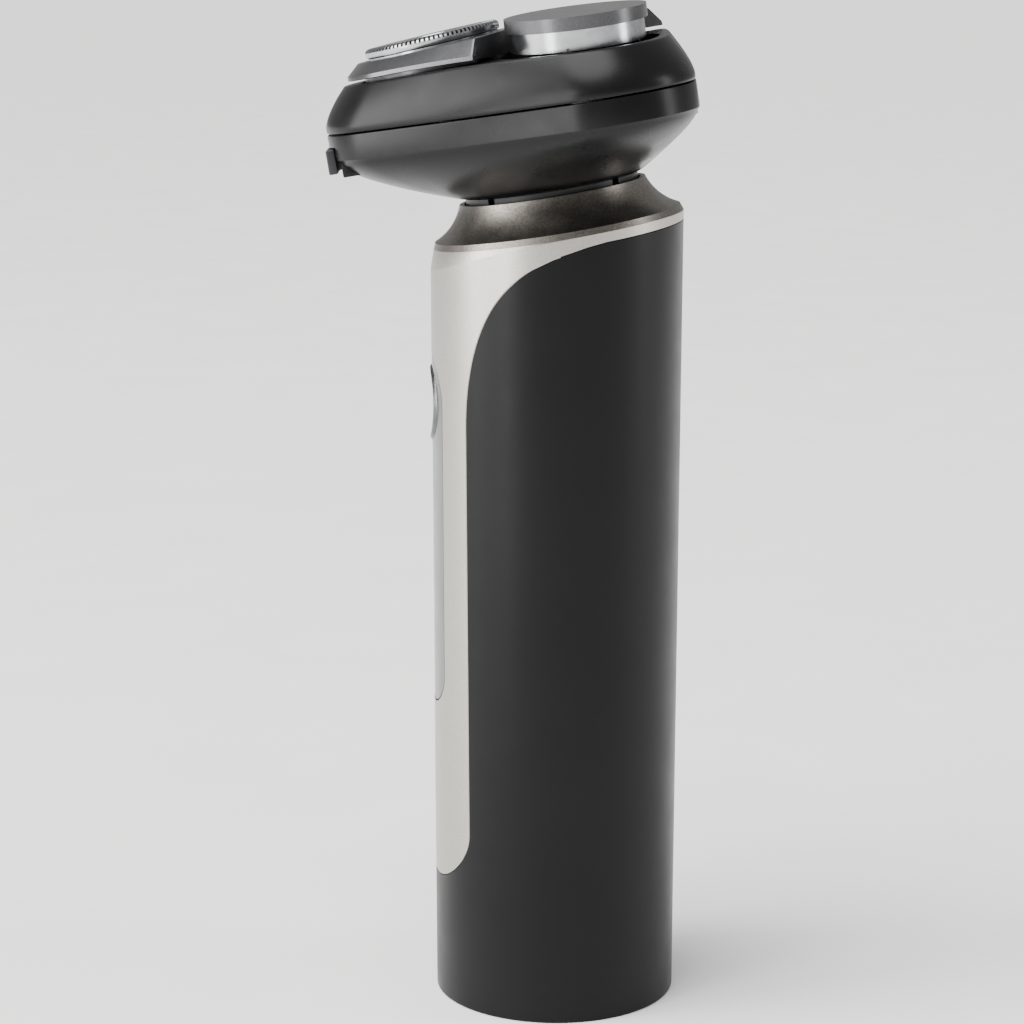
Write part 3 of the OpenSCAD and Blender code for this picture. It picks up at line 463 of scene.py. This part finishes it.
# ---------------------------------------------------------------- Power button
# A round key, die cast and satin chromed, dished for the fingertip. It stands a little
# proud at its upper and lower lips and moves straight in against the switch.

face_y = foot_r + taper * button_z + 0.3
dish = 0.5
key = spun([(0, face_y - 3), (button_r, face_y - 3), (button_r, face_y - 0.45, 0.35),
            (button_r - 0.55, face_y - 0.02, 0.2), (button_r - 1.3, face_y - 0.2, 1.2)]
           + [(r, face_y - 0.22 - (dish - 0.22) * (1 - (r / 4.6) ** 2)) for r in (4.2, 3.4, 2.5, 1.5, 0.6, 0)])
bent = [v for v in key.verts if v.co.z > face_y - 2]
for vert in bent:
    vert.co.z -= 0.75 * foot_r * (1 - sqrt(1 - (vert.co.x / foot_r) ** 2))
button = place(key, "round_button", TO_FRONT)
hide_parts("power_button")
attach(button, "power_button")

# Satin chrome on zinc: grey mirror under a very fine circular brushing.
satin_chrome, tree, surface, where = finish_of("satin_chromed_zinc", {"Metallic": 1.0})
tree.links.new(tint(tree, speckle(tree, where, 2.0, 0, 1), "#5c5c5d", "#676768"), surface.inputs["Base Color"])
tree.links.new(speckle(tree, where, 0.4, 0.24, 0.32), surface.inputs["Roughness"])
grain(tree, surface, relief(tree, where, 0.25), 0.002)
button.data.materials.clear()
button.data.materials.append(satin_chrome)


# ---------------------------------------------------------------- Neck collar
# A machined aluminium flare between handle and head, screwed down from inside. Its hollow
# curve ends in a chamfered lip below and in the round seat of the head above.

neck_h, neck_top_r, flare_r, flare_w = 6.1, 14.7, 8.8, 9
flare_x = neck_top_r + sqrt(flare_r ** 2 - (flare_w - neck_h) ** 2)
crease_w = 0.95
crease_r = flare_x - sqrt(flare_r ** 2 - (flare_w - crease_w) ** 2)
turn_low = degrees(atan2(crease_w - flare_w, crease_r - flare_x))
turn_high = degrees(atan2(neck_h - flare_w, neck_top_r - flare_x))
collar = spun([(13.95, neck_h, 0.15), (13.95, 4), (3, 4), (3, 0.02), (rim_r - 0.05, 0.02)]
              + arc(flare_x, flare_w, flare_r, turn_low, turn_high, 40)
              + [(neck_top_r - 0.1, neck_h, 0.1)])
collar = place(collar, "neck_flare", HEAD, 12)
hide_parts("neck_collar")
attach(collar, "handle")

# The same blasted aluminium as the panel, its base colour painted darker as shade for the black head it reflects;
# its grain catches the light as fine sparkle.
shade_darkened_aluminium, tree, surface, where = finish_of("aluminium_painted_darker_as_shade", {"Metallic": 1.0})
# Painted shade: this darker pair of colours stands in for shade on the panel's own aluminium.
tree.links.new(tint(tree, speckle(tree, where, 0.35, 0, 1), "#6e6963", "#847f78"), surface.inputs["Base Color"])
tree.links.new(speckle(tree, where, 3.0, 0.32, 0.4), surface.inputs["Roughness"])
grain(tree, surface, relief(tree, where, 0.35, 3.0), 0.02)
collar.data.materials.clear()
collar.data.materials.append(shade_darkened_aluminium)


# ---------------------------------------------------------------- Coupling ring and drive
# The head plugs into the neck with a slotted black ring. Inside it the motor's shaft drives
# the gears through a flatted acetal dog.

ring_foot, ring_top = 4.4, 7.0
ring = place(spun([(11.3, ring_foot), (13.6, ring_foot, 0.1), (13.6, ring_top), (11.3, ring_top)], 192), "coupling_collar", HEAD)
for quarter in range(4):
    notch = place(block((12.6, -0.7, neck_h - 0.6), (15, 0.7, ring_top + 1)), "notch",
                  HEAD @ Matrix.Rotation(radians(45 + 90 * quarter), 4, "Z"))
    carve(ring, notch)
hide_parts("coupling_ring")
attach(ring, "head_base")
# Moulded nylon, a shade greyer than the bowl.
ring_nylon = moulded("grey_black_nylon", "#141414", "#191919", 0.42, 0.4, 0.01)
ring.data.materials.clear()
ring.data.materials.append(ring_nylon)

# Natural acetal: creamy, slightly waxy, with faint swirls of about 1.5 mm.
acetal, tree, surface, where = finish_of("natural_acetal", {"IOR": 1.48, "Roughness": 0.36,
                                                            "Subsurface Weight": 0.08})
tree.links.new(tint(tree, speckle(tree, where, 1.5, 0, 1), "#ddd8ca", "#e9e5da"), surface.inputs["Base Color"])
grain(tree, surface, relief(tree, where, 0.4), 0.01)
for node in ["drive_coupling", "sun_gear"] + [part + side for part in ("planet_gear_", "drive_pin_")
                                              for side in ("front", "right", "left")]:
    wear(node, acetal)


# ---------------------------------------------------------------- Hair chamber
# The lower shell of the head, moulded in glossy black ABS: a round foot that swells into a
# rounded triangle, an upright band, and the housing of the release latch at the front.

apex_r, flat_r, corner_out = 33.2, 24.3, 19.5
bowl_foot_w, bowl_foot_r, band_w, parting_w = 6.9, 14.0, 16.2, 20.1
head_wall, edge_rise = 1.5, 0.6
corner_r = apex_r - corner_out
side_shift = corner_out / 2 - flat_r
side_r = (corner_r ** 2 - side_shift ** 2 - 0.75 * corner_out ** 2) / (2 * (side_shift + corner_r))


def from_circle(x, y, radius, angle):
    along = x * cos(angle) + y * sin(angle)
    return along + sqrt(along ** 2 - x * x - y * y + radius ** 2)


def outline(angle):
    """Reach of the head's rounded triangle in a direction, flat at the back and at either side."""
    third = radians(120)
    turned = angle - radians(90)
    folded = abs(turned - third * round(turned / third))
    x, y = corner_out / 2, corner_out * sin(third / 2)
    reach_side = from_circle(flat_r - side_r, 0, side_r, folded)
    at = Vector((reach_side * cos(folded) - flat_r + side_r, reach_side * sin(folded)))
    if atan2(at.y, at.x) <= atan2(y, x - flat_r + side_r):
        return reach_side
    return from_circle(x, y, corner_r, folded)


def lofted(rings, steps=240):
    """A closed skin through rings of (height, core radius, share of the way to the outline, growth, rise)."""
    bm = bmesh.new()
    verts = bmesh.ops.create_circle(bm, cap_ends=False, segments=steps, radius=1)["verts"]
    bmesh.ops.rotate(bm, cent=(0, 0, 0), matrix=Matrix.Rotation(pi / steps, 3, "Z"), verts=verts)
    edges = bm.edges[:]
    first = edges
    for k, (height, core, share, growth, rise) in enumerate(rings):
        if k:
            grown = bmesh.ops.extrude_edge_only(bm, edges=edges)["geom"]
            verts = [g for g in grown if isinstance(g, bmesh.types.BMVert)]
            edges = [g for g in grown if isinstance(g, bmesh.types.BMEdge)]
        for vert in verts:
            angle = atan2(vert.co.y, vert.co.x)
            far_out = outline(angle)
            radius = core + share * (far_out + growth - core)
            lift = rise * (apex_r - far_out) / (apex_r - flat_r)
            vert.co = (radius * cos(angle), radius * sin(angle), height + lift)
    bmesh.ops.edgeloop_fill(bm, edges=first)
    bmesh.ops.edgeloop_fill(bm, edges=edges)
    return bm


def bowl_share(t):
    return 1 - (1 - t) ** 1.5


def bowl_side(growth, lift, bits):
    foot = bowl_foot_w + lift
    return [(foot + (band_w - foot) * i / bits, bowl_foot_r + growth, 0.985 * bowl_share(i / bits), growth, 0)
            for i in range(bits + 1)]


bowl_skin = [(bowl_foot_w, 4, 0, 0, 0), (bowl_foot_w, bowl_foot_r - 0.4, 0, 0, 0)]
bowl_skin += bowl_side(0, 0, 28)[1:-1]
bowl_skin += [(band_w - 0.03, 0, 1, -0.05, 0), (band_w + 0.03, 0, 1, 0, 0),
              (parting_w - 0.25, 0, 1, 0, 0), (parting_w - 0.08, 0, 1, -0.06, 0), (parting_w, 0, 1, -0.22, 0),
              (parting_w, 0, 1, -head_wall, 0), (band_w, 0, 1, -head_wall, 0)]
bowl_skin += list(reversed(bowl_side(-head_wall, 2, 14)))[1:]
bowl_skin += [(bowl_foot_w + 2, 4, 0, 0, 0)]
bowl = place(lofted(bowl_skin), "hair_bowl", HEAD, 25)

latch_low, latch_high = 14.2, 18.0
latch_front = -(apex_r + 0.45)
latch_back = latch_front + 1.4
housing_v = latch_back + 0.7
recess = block((-5.6, -FAR, latch_low - 3), (5.6, housing_v, latch_high + 0.25))
carve(bowl, place(recess, "latch_recess", HEAD), sharp=25)
hinge = joints["cover_hinge"]
hinge_at = HEAD.inverted() @ (Vector(hinge["pos_m"]) / MM)
recess = block((-6.2, hinge_at.y - 1.4, hinge_at.z - 1.5), (6.2, FAR, FAR))
carve(bowl, place(recess, "hinge_recess", HEAD), sharp=25)
hub = place(spun([(0, 0), (4.06, 0), (4.06, FAR), (0, FAR)], 64), "sun_bearing", HEAD)
carve(bowl, hub, sharp=25)
for width, low, high in ((5.5, (housing_v, latch_low - 0.7), (housing_v + 1.7, latch_high + 0.5)),
                         (5.5, (housing_v, latch_low - 0.7), (housing_v + 4.3, 14.5))):
    carve(bowl, place(block((-width, *low), (width, *high), 0.25), "housing", HEAD), "UNION", 25)
for side in (-1, 1):
    x = side * 7.6
    lug = block((x - 1.4, hinge_at.y - 1.7, hinge_at.z - 1.6), (x + 1.4, hinge_at.y + 0.6, hinge_at.z + 1.6), 0.3)
    carve(bowl, place(lug, "hinge_lug", HEAD), "UNION", 25)
for side in ("front", "right", "left"):
    spindle = HEAD.inverted() @ (Vector(joints["planet_spin_" + side]["pos_m"]) / MM)
    boss = spun([(0, 8), (2.2, 8), (2.2, 11.6, 0.2), (1.0, 11.6), (1.0, 9), (0, 9)], 48)
    carve(bowl, place(boss, "boss", HEAD @ Matrix.Translation((spindle.x, spindle.y, 0))), "UNION", 25)
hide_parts("hair_chamber")
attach(bowl, "head_base")

# ABS from a polished mould: deep black with clear reflections, and the faint orange peel of
# about 2 mm that moulded gloss always has.
black_abs, tree, surface, where = finish_of("polished_black_abs", {"IOR": 1.53, "Specular IOR Level": 0.18})
tree.links.new(tint(tree, speckle(tree, where, 12.0, 0, 1), "#0c0c0d", "#0f0f10"), surface.inputs["Base Color"])
tree.links.new(speckle(tree, where, 5.0, 0.26, 0.32), surface.inputs["Roughness"])
grain(tree, surface, relief(tree, where, 2.0, 1.0), 0.001)
bowl.data.materials.clear()
bowl.data.materials.append(black_abs)


# ---------------------------------------------------------------- Release latch
# A small ribbed key at the front of the bowl. Pressed in, its hook lets the cover spring up.

key = block((-5, latch_front, latch_low), (5, latch_back, latch_high), 0.22)
ribs = 5
pitch = (latch_high - latch_low) / (ribs + 1)
latch = place(key, "ribbed_latch", HEAD)
for i in range(1, ribs + 1):
    groove = block((-4.3, latch_front - 1, latch_low + i * pitch - 0.14), (4.3, latch_front + 0.22, latch_low + i * pitch + 0.14))
    carve(latch, place(groove, "groove", HEAD))
stem = block((-2.5, latch_back - 0.1, 14.6), (2.5, housing_v + 2.9, 16.2), 0.1)
carve(latch, place(stem, "stem", HEAD), "UNION")
hook = block((-2.5, housing_v + 1.9, 15.9), (2.5, housing_v + 2.9, 17.4), 0.15)
carve(latch, place(hook, "hook", HEAD), "UNION")
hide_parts("release_latch")
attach(latch, "release_latch")
# Acetal dyed black: a touch greyer and duller than the polished shell.
latch_acetal = moulded("black_acetal", "#232326", "#2b2b2e", 0.42, 0.3, 0.01)
latch.data.materials.append(latch_acetal)


# ---------------------------------------------------------------- Cover
# The upper shell of the head, which swings up on the hinge at the back to empty the bowl.
# Its crowned side runs up to a thin bright edge, and three wells hold the shaving units.

cover_h, cover_gap, plate_t = 7.0, 0.2, 1.2


def cover_share(h):
    return 1 if h < 1 else 1 - 0.12 * ((h - 1) / 6) ** 1.45


def cover_side(start, end, growth, bits):
    return [(parting_w + h, 0, cover_share(h), growth, edge_rise * (max(h, 0) / cover_h) ** 2)
            for h in (start + (end - start) * i / bits for i in range(bits + 1))]


cover_skin = [(parting_w + cover_gap, 0, 0.7, -head_wall, 0), (parting_w + cover_gap, 0, 1, -head_wall, 0),
              (parting_w + cover_gap, 0, 1, -0.25, 0), (parting_w + cover_gap + 0.06, 0, 1, -0.08, 0)]
cover_skin += cover_side(cover_gap + 0.25, cover_h - 0.12, 0, 26)
cover_skin += [(parting_w + cover_h - 0.03, 0, cover_share(cover_h), -0.08, edge_rise),
               (parting_w + cover_h, 0, cover_share(cover_h), -0.3, edge_rise),
               (parting_w + cover_h, 0, 0.4, -0.3, edge_rise)]
hollow_skin = [(parting_w - 1, 0, 1, -head_wall, 0)] + cover_side(cover_gap, cover_h - plate_t, -head_wall, 14)
cover = place(lofted(cover_skin[1:]), "crowned_cover", HEAD, 25)
carve(cover, place(lofted(hollow_skin, 120), "cover_hollow", HEAD), sharp=25)
SIDES = {"front": -90, "right": 30, "left": 150}
ring_r = 14.6
for side, direction in SIDES.items():
    centre = Matrix.Rotation(radians(direction), 4, "Z") @ Matrix.Translation((ring_r, 0, 0))
    well = spun([(0, parting_w + 1), (12.1, parting_w + 1), (12.1, FAR), (0, FAR)], 128)
    carve(cover, place(well, "well", HEAD @ centre), sharp=25)
tab = lofted([(hinge_at.z, 0, 1, 0, 0), (parting_w + 1.2, 0, 1, 0, 0)])
for point, outward in (((-6, 0, 0), (-1, 0, 0)), ((6, 0, 0), (1, 0, 0)), ((0, hinge_at.y - 0.2, 0), (0, -1, 0))):
    bmesh.ops.bisect_plane(tab, geom=tab.verts[:] + tab.edges[:] + tab.faces[:], plane_co=point, plane_no=outward,
                           clear_outer=True)
    bmesh.ops.holes_fill(tab, edges=[e for e in tab.edges if e.is_boundary], sides=0)
carve(cover, place(tab, "hinge_tab", HEAD), "UNION", 25)
ACROSS = Matrix.Translation(hinge_at) @ Matrix.Rotation(radians(90), 4, "Y")
knuckle = spun([(0, -6), (1.2, -6, 0.15), (1.2, 6, 0.15), (0, 6)], 48, False)
carve(cover, place(knuckle, "knuckle", HEAD @ ACROSS), "UNION", 25)
bore = spun([(0, -9), (0.81, -9), (0.81, 9), (0, 9)], 32, False)
carve(cover, place(bore, "hinge_bore", HEAD @ ACROSS), sharp=25)
catch_v = housing_v + 2
catch = block((-2.5, catch_v - 0.3, 17.8), (2.5, catch_v + 0.9, parting_w + 1.4), 0.1)
shelf = block((-2.5, -(apex_r - head_wall) - 0.5, parting_w + 0.4), (2.5, catch_v + 0.9, parting_w + 1.4), 0.1)
for part, label in ((catch, "catch"), (shelf, "catch_shelf")):
    carve(cover, place(part, label, HEAD), "UNION", 25)
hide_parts("head_cover")
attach(cover, "head_cover")
cover.data.materials.clear()
cover.data.materials.append(black_abs)
wear("cutter_frame", nylon)


# ---------------------------------------------------------------- Petals
# Three surrounds, moulded and sprayed metallic grey, that carry the shaving units and float
# on the cover. Together they repeat the head's outline, parted by three narrow gaps.

GAPS = {"front": (203.4, 336.6), "right": (-23.4, 90), "left": (90, 203.4)}
petal_foot = parting_w + cover_h + 0.6
petal_gap = 1.1
petal_skin = [(petal_foot, 0, 0.5, 0, edge_rise), (petal_foot, 0, 0.862, -0.12, edge_rise),
              (petal_foot + 0.1, 0, 0.862, 0, edge_rise), (petal_foot + 0.62, 0, 0.859, 0, edge_rise),
              (petal_foot + 0.7, 0, 0.858, 0, edge_rise), (petal_foot + 0.85, 0, 0.853, 0, edge_rise),
              (petal_foot + 4.7, 0, 0.729, 0, edge_rise)]
guard_r, bore_gap = 10.3, 0.32

# Sprayed metallic lacquer on ABS: a dark silver with flakes of about 0.2 mm under a satin clear coat.
metallic, tree, surface, where = finish_of("metallic_grey_lacquer", {"Metallic": 0.85, "Coat Weight": 0.25,
                                                                     "Coat Roughness": 0.2})
tree.links.new(tint(tree, speckle(tree, where, 0.2, 0, 1), "#4b4b4d", "#58585a"), surface.inputs["Base Color"])
tree.links.new(speckle(tree, where, 4.0, 0.27, 0.33), surface.inputs["Roughness"])
grain(tree, surface, relief(tree, where, 0.25), 0.003)


def pod_frame(side):
    """A pod's own frame: zero at the petal's top on the cutter's axis, Z along that axis."""
    spin = joints["cutter_spin_" + side]
    centre = Vector(spin["pos_m"]) / MM
    upward = Vector(spin["axis"])
    outward = (HEAD.to_3x3() @ Vector((cos(radians(SIDES[side])), sin(radians(SIDES[side])), 0)))
    across = upward.cross(outward).normalized()
    outward = across.cross(upward)
    return Matrix.Translation(centre) @ Matrix((outward, across, upward)).transposed().to_4x4()


def wedge(gaps, name):
    """The slice of the head between two gap directions, half a gap in from each."""
    start, end = (radians(gap) for gap in gaps)
    along = [Vector((cos(angle), sin(angle))) for angle in (start, (start + end) / 2, end)]
    tip = along[1] * (petal_gap / 2 / sin((end - start) / 2))
    corners = [tip, tip + along[0] * FAR, tip + along[1] * 2 * FAR, tip + along[2] * FAR]
    lying = prism([(p.x, -p.y) for p in corners], petal_foot - 2, petal_foot + 9)
    return place(lying, name, HEAD @ Matrix.Rotation(radians(90), 4, "X"))


def ease_edges(piece, width, above):
    """Rounds the corners of a piece that lie above a height in the head's own frame."""
    down = HEAD.inverted() @ Matrix.Scale(1 / MM, 4)
    bm = bmesh.new()
    bm.from_mesh(piece.data)
    picked = [e for e in bm.edges if len(e.link_faces) == 2 and e.calc_face_angle(0) > radians(35)
              and min((down @ v.co).z for v in e.verts) > above]
    bmesh.ops.bevel(bm, geom=picked, offset=width * MM, offset_type="OFFSET", segments=3, profile=0.5,
                    affect="EDGES", material=-1, clamp_overlap=True)
    shade(bm, 22)
    bm.to_mesh(piece.data)
    bm.free()


for side in SIDES:
    petal = place(lofted(petal_skin), "petal_surround_" + side, HEAD, 22)
    carve(petal, wedge(GAPS[side], "wedge"), "INTERSECT", 22)
    below = place(block((-FAR, -FAR, -FAR), (FAR, FAR, 0)), "below", pod_frame(side))
    carve(petal, below, "INTERSECT", 22)
    ease_edges(petal, 0.14, petal_foot + 0.9)
    skirt = spun([(guard_r + 0.6, -5.6), (11.5, -5.6, 0.2), (11.5, -1), (guard_r + 0.6, -1)], 160)
    carve(petal, place(skirt, "skirt", pod_frame(side)), "UNION", 22)
    bore = spun([(0, -FAR / 2), (guard_r + 0.6, -FAR / 2), (guard_r + 0.6, -1.6), (guard_r + bore_gap, -1.5),
                 (guard_r + bore_gap, -0.15), (guard_r + bore_gap + 0.18, 0.02), (guard_r + bore_gap + 0.18, 2),
                 (0, 2)], 160, False)
    carve(petal, place(bore, "guard_bore", pod_frame(side)), sharp=22)
    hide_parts("petal_" + side)
    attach(petal, "petal_" + side)
    petal.data.materials.clear()
    petal.data.materials.append(metallic)


# ---------------------------------------------------------------- Guards
# The outer cutters: caps pressed from nickel-plated steel 0.3 mm thick. A crown of fine
# slots runs round each, over the rolled edge, about a raised and dished centre.

stand = 1.45
slots = 90
per_slot = 6
cap = [(9.9, -3.0), (9.9, 0.35), (10.02, 0.5), (10.25, 0.62), (10.3, 0.8), (10.3, 1.15), (10.2, 1.32), (9.95, stand),
       (9.2, stand), (8.3, stand), (7.5, stand), (7.2, stand - 0.05), (7.0, stand - 0.3), (6.75, stand - 0.34),
       (6.3, stand - 0.3), (6.1, stand - 0.05), (5.9, stand + 0.0), (5.3, stand), (5.05, stand - 0.06),
       (4.8, stand - 0.3), (4.3, stand - 0.42), (3.0, stand - 0.5), (1.5, stand - 0.54), (0.4, stand - 0.55)]

# Nickel-plated steel, polished and then brushed round: white metal, tight bright highlights.
nickel, tree, surface, where = finish_of("nickel_plated_steel", {"Metallic": 1.0})
ring_map = add(tree, "UVMap")
brushed = add(tree, "Mapping", {"Scale": (40.0, 900.0, 1.0)}, Vector=ring_map.outputs["UV"])
tree.links.new(speckle(tree, brushed.outputs["Vector"], 1.0, 0.17, 0.27, 3.0), surface.inputs["Roughness"])
tree.links.new(tint(tree, speckle(tree, where, 1.5, 0, 1), "#a6a7a9", "#b8b9bb"), surface.inputs["Base Color"])

for side in SIDES:
    bm = spun(cap, slots * per_slot, False)
    bmesh.ops.remove_doubles(bm, verts=bm.verts, dist=0.0005)
    gone = []
    for face in bm.faces:
        middle = face.calc_center_median()
        phase = (atan2(middle.y, middle.x) / (2 * pi) * slots) % 1
        in_crown = middle.xy.length > 7.5 and middle.z > 1.2
        if in_crown and phase < 0.42:
            gone.append(face)
    bmesh.ops.delete(bm, geom=gone, context="FACES")
    centre_edges = [e for e in bm.edges if e.is_boundary and all(v.co.xy.length < 0.5 for v in e.verts)]
    bmesh.ops.edgeloop_fill(bm, edges=centre_edges)
    for vert in bm.verts:
        radius = vert.co.xy.length
        if 7.4 < radius:
            slant = radians(5) * (10.3 - radius) / 3
            vert.co.xy = Matrix.Rotation(slant, 2) @ vert.co.xy
    uv = bm.loops.layers.uv.new("UVMap")
    for face in bm.faces:
        for loop in face.loops:
            turn = atan2(loop.vert.co.y, loop.vert.co.x) / (2 * pi)
            loop[uv].uv = (turn, (loop.vert.co.xy.length + loop.vert.co.z) / 20)
    bmesh.ops.recalc_face_normals(bm, faces=bm.faces)
    if next(f for f in bm.faces if f.calc_center_median().xy.length < 0.3).normal.z < 0:
        bmesh.ops.reverse_faces(bm, faces=bm.faces)
    bmesh.ops.solidify(bm, geom=bm.faces[:], thickness=-0.32)
    guard = place(bm, "slotted_guard_" + side, pod_frame(side), 28)
    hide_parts("guard_" + side)
    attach(guard, "guard_" + side)
    guard.data.materials.append(nickel)

# Hardened and ground cutter steel: greyer than the guards, with grinding lines 0.2 mm apart.
ground, tree, surface, where = finish_of("ground_cutter_steel", {"Metallic": 1.0})
lines = add(tree, "TexWave", {"Scale": 1 / 0.2 / 6, "Distortion": 0.6}, Vector=where)
tree.links.new(tint(tree, lines.outputs["Fac"], "#4e5053", "#5c5e61"), surface.inputs["Base Color"])
tree.links.new(speckle(tree, where, 1.0, 0.25, 0.38), surface.inputs["Roughness"])
grain(tree, surface, lines.outputs["Fac"], 0.004)
for side in SIDES:
    wear("cutter_" + side, ground)
    wear("spindle_spring_" + side, steel)


# ---------------------------------------------------------------- Studio
# A pale floor, a tall soft light at either side and one above.

floor_bm = bmesh.new()
bmesh.ops.create_grid(floor_bm, x_segments=1, y_segments=1, size=40 / MM)
floor = place(floor_bm, "floor")
floor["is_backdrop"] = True
paper, tree, surface, where = finish_of("white_seamless_paper", {"Roughness": 0.9})
tree.links.new(tint(tree, speckle(tree, where, 40.0, 0, 1), "#f6f6f5", "#fafaf9"), surface.inputs["Base Color"])
floor.data.materials.append(paper)


def soft_light(name, at, aim, width, height, watts):
    lamp = bpy.data.lights.new(name, "AREA")
    lamp.shape, lamp.size, lamp.size_y, lamp.energy = "RECTANGLE", width, height, watts
    holder = bpy.data.objects.new(name, lamp)
    holder.location = at
    holder.rotation_euler = (Vector(aim) - Vector(at)).to_track_quat("-Z", "Y").to_euler()
    bpy.context.scene.collection.objects.link(holder)


middle = (0, 0, 0.08)
soft_light("band_soft", (0.37, -0.41, 0.19), middle, 0.15, 0.38, 1.5)
soft_light("key_soft", (0.3, -1.35, 0.5), middle, 0.6, 1.2, 26)
soft_light("rim_soft", (0.2, 1.4, 0.5), middle, 0.3, 1.2, 8)
sky = bpy.data.lights.new("sky", "SUN")
sky.energy, sky.angle = 4.5, radians(50)
sky_holder = bpy.data.objects.new("sky", sky)
sky_holder.rotation_euler = (radians(18), radians(12), 0)
bpy.context.scene.collection.objects.link(sky_holder)

world = bpy.data.worlds.new("studio")
bpy.context.scene.world = world
world.use_nodes = True
world.node_tree.nodes.clear()
seen = add(world.node_tree, "Background", {"Color": (1, 1, 1, 1), "Strength": 4.0})
lit = add(world.node_tree, "Background", {"Color": (1, 1, 1, 1), "Strength": 0.45})
ray = add(world.node_tree, "LightPath")
both = world.node_tree.nodes.new("ShaderNodeMixShader")
world.node_tree.links.new(ray.outputs["Is Camera Ray"], both.inputs[0])
world.node_tree.links.new(lit.outputs[0], both.inputs[1])
world.node_tree.links.new(seen.outputs[0], both.inputs[2])
add(world.node_tree, "OutputWorld", Surface=both.outputs[0])

camera_data = bpy.data.cameras.new("camera")
camera_data.lens, camera_data.sensor_width = 94.92, 36
camera_data.clip_start = 0.01
camera = bpy.data.objects.new("camera", camera_data)
camera.location = (0.42377, -0.01265, 0.1641)
camera.rotation_euler = Vector((-0.98035, 0.01302, -0.19682)).to_track_quat("-Z", "Y").to_euler()
bpy.context.scene.collection.objects.link(camera)
bpy.context.scene.camera = camera

low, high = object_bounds()
